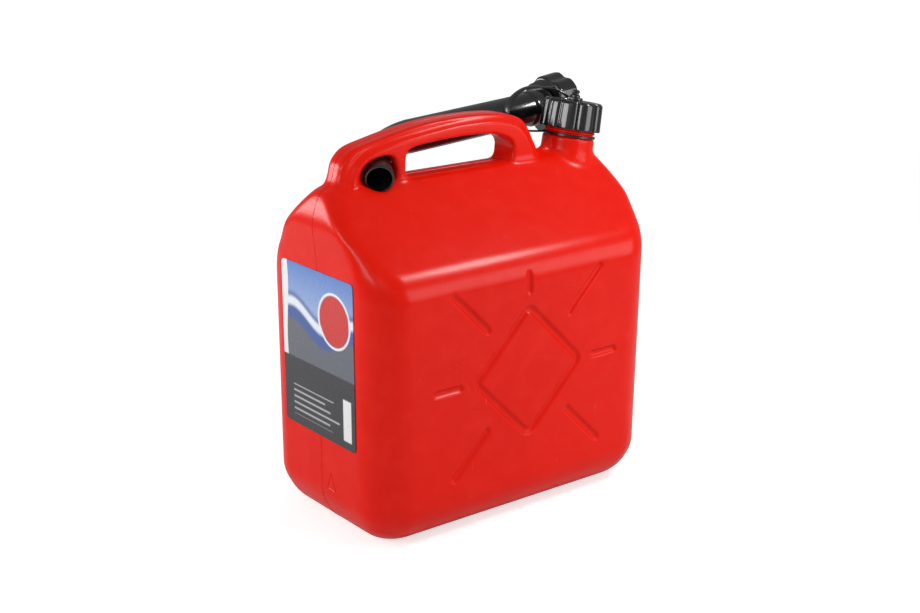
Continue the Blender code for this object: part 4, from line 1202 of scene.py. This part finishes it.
def label_film():
    """A printed film with a picture field of soft waves over a dark panel of plain bars."""
    paint = surface("label_film", (0.25, 0.35, 0.6), 0.3)
    mix, times, calculate = paint.mix, paint.times, paint.math
    split = paint.node("SeparateXYZ", {0: paint.place()})
    across = paint.remap(split.outputs["Y"], LABEL_WIDTH / 2.0, -LABEL_WIDTH / 2.0)
    up = paint.remap(split.outputs["Z"], LABEL_BOTTOM, LABEL_BOTTOM + LABEL_HEIGHT)

    def above(value, limit, softness=0.004):
        return paint.remap(value, limit - softness, limit + softness)

    def between(value, low, high, softness=0.004):
        return calculate("SUBTRACT", above(value, low, softness), above(value, high, softness))

    def wavy(turns, start, size, middle, along):
        wave = calculate("SINE", calculate("MULTIPLY_ADD", along, turns, start))
        return calculate("MULTIPLY_ADD", wave, size, middle)

    picture = mix(paint.remap(up, 0.38, 1.0), (0.62, 0.72, 0.88), (0.10, 0.22, 0.58))
    height = calculate("SUBTRACT", up, wavy(7.0, 0.6, 0.055, 0.66, across))
    picture = mix(above(height, 0.10, 0.02), (0.045, 0.10, 0.34), picture)
    picture = mix(between(height, 0.02, 0.075, 0.012), picture, (0.78, 0.84, 0.93))
    picture = mix(above(height, -0.06, 0.015), (0.12, 0.13, 0.16), picture)
    reach_across = calculate("SUBTRACT", across, DISC_PLACE)
    reach_up = times(calculate("SUBTRACT", up, DISC_PLACE), LABEL_HEIGHT / LABEL_WIDTH)
    squares = [times(reach, reach) for reach in (reach_across, reach_up)]
    reach = calculate("SQRT", calculate("ADD", *squares))
    picture = mix(above(reach, 0.20, 0.006), (0.62, 0.02, 0.016), picture)
    picture = mix(between(reach, 0.205, 0.225), picture, (0.85, 0.86, 0.88))
    rows = times(up, PANEL_ROWS)
    ragged = calculate("SINE", times(calculate("FLOOR", rows), 2.4))
    ragged = calculate("FRACT", times(ragged, 3.7))
    length = calculate("MULTIPLY_ADD", ragged, 0.22, 0.58)
    bar = times(between(calculate("FRACT", rows), 0.30, 0.62, 0.06), between(up, 0.06, 0.25, 0.002))
    bar = times(bar, times(above(across, 0.13), calculate("LESS_THAN", across, length)))
    ground = mix(times(bar, 0.55), (0.030, 0.032, 0.038), (0.72, 0.73, 0.75))
    patch = times(between(across, 0.84, 0.95), between(up, 0.05, 0.30))
    ground = mix(patch, ground, (0.80, 0.80, 0.80))
    printed = mix(above(up, PANEL_TOP), ground, picture)
    strip = calculate("LESS_THAN", across, wavy(9.0, 0.0, 0.015, 0.075, up))
    printed = mix(times(strip, above(up, PANEL_TOP)), printed, (0.84, 0.84, 0.85))
    printed = paint.stain(printed, (0.5, 0.5, 0.5), 900.0, 2.0, 0.3, 0.7, 0.05)
    printed = paint.stain(printed, (0.7, 0.7, 0.7), 200.0, 6.0, 0.72, 0.84, 0.15, (1.0, 2.0, 0.5))
    return paint.cover(printed, 0.28, 0.03, [(30.0, 2.0, 0.0005, 0.4), (600.0, 3.0, 0.00003, 0.4)])


def dress(thing, made):
    thing.data.materials.clear()
    thing.data.materials.append(made)


# Stage

def add_camera():
    data = bpy.data.cameras.new("camera")
    data.lens = CAMERA_LENS_MM
    data.clip_end = 20.0
    camera = add_object("camera", data)
    right = Vector((cos(CAMERA_TURN), sin(CAMERA_TURN), 0.0))
    ahead = heading(-CAMERA_TURN, -CAMERA_DROP)
    turn = Matrix((right, right.cross(ahead), -ahead)).transposed().to_4x4()
    camera.matrix_world = Matrix.Translation(CAMERA_PLACE) @ turn
    bpy.context.scene.camera = camera


def add_lamp(name, place, target, size, power):
    data = bpy.data.lights.new(name, "AREA")
    data.shape = "RECTANGLE"
    data.size, data.size_y = size
    data.energy = power
    lamp = add_object(name, data)
    lamp.location = place
    lamp.rotation_euler = (Vector(target) - Vector(place)).to_track_quat("-Z", "Y").to_euler()


def add_floor():
    """Pale paper: it keeps the object's shadow, and what the camera sees of it is lifted to white."""
    half = FLOOR_SIZE / 2.0
    corners = [(-half, -half, 0.0), (half, -half, 0.0), (half, half, 0.0), (-half, half, 0.0)]
    mesh = bpy.data.meshes.new("floor")
    mesh.from_pydata(corners, [], [(0, 1, 2, 3)])
    floor = add_object("floor", mesh)
    paint = surface("floor_paper", FLOOR_COLOR, 0.9, 0.1)
    distance = paint.node("VectorMath", {0: paint.place()})
    distance.operation = "LENGTH"
    lift = paint.remap(distance.outputs["Value"], *FLOOR_LIFT_REACH, *FLOOR_LIFT)
    paint.put(paint.inputs["Emission Color"], WHITE)
    paint.put(paint.inputs["Emission Strength"], paint.times(lift, paint.seen_only()))
    dress(floor, paint.made)


def add_world():
    world = bpy.data.worlds.new("studio")
    bpy.context.scene.world = world
    paint = Paint(world, "Background")
    paint.put(paint.inputs["Color"], WHITE)
    paint.put(paint.inputs["Strength"], paint.remap(paint.seen_only(), 0.0, 1.0, STUDIO_LIGHT, 1.0))


add_camera()
add_world()
for lamp in LAMPS:
    add_lamp(*lamp)
bpy.context.scene.view_settings.view_transform = "Standard"

red = red_plastic()
black = black_plastic("black_plastic", 0.18, 0.00001)
soft_black = black_plastic("soft_black_plastic", 0.24, 0.00002)
foam = seal_material("seal_foam", (0.75, 0.75, 0.72), 0.85, 1800.0, 0.0002)
rubber = seal_material("seal_rubber", BLACK_DUSTY, 0.6, 1500.0, 0.0001)

add_floor()

tank, seam = build_tank()
dress(tank, red)
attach(tank, "can")
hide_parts("tank_body")

seam_bead = bead("mould_seam", seam, SEAM_BEAD_RADIUS, IN_CAN)
mark = build_mark()
neck = build_neck()
for piece in (seam_bead, mark, neck):
    dress(piece, red)
    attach(piece, "can")

cap = build_cap()
dress(cap, black)
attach(cap, "cap")
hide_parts("screw_cap")

strap = build_strap()
dress(strap, soft_black)
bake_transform(strap)
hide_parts("cap_strap")

spout = build_spout()
dress(spout, black)
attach(spout, "spout")
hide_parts("spout_tube")

nut = build_nut(spout_place())
dress(nut, black)
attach(nut, "nut")
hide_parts("spout_nut")

label = build_label()
dress(label, label_film())
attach(label, "can")
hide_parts("end_label")

dress(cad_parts["cap_seal"], foam)
dress(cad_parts["spout_seal"], rubber)
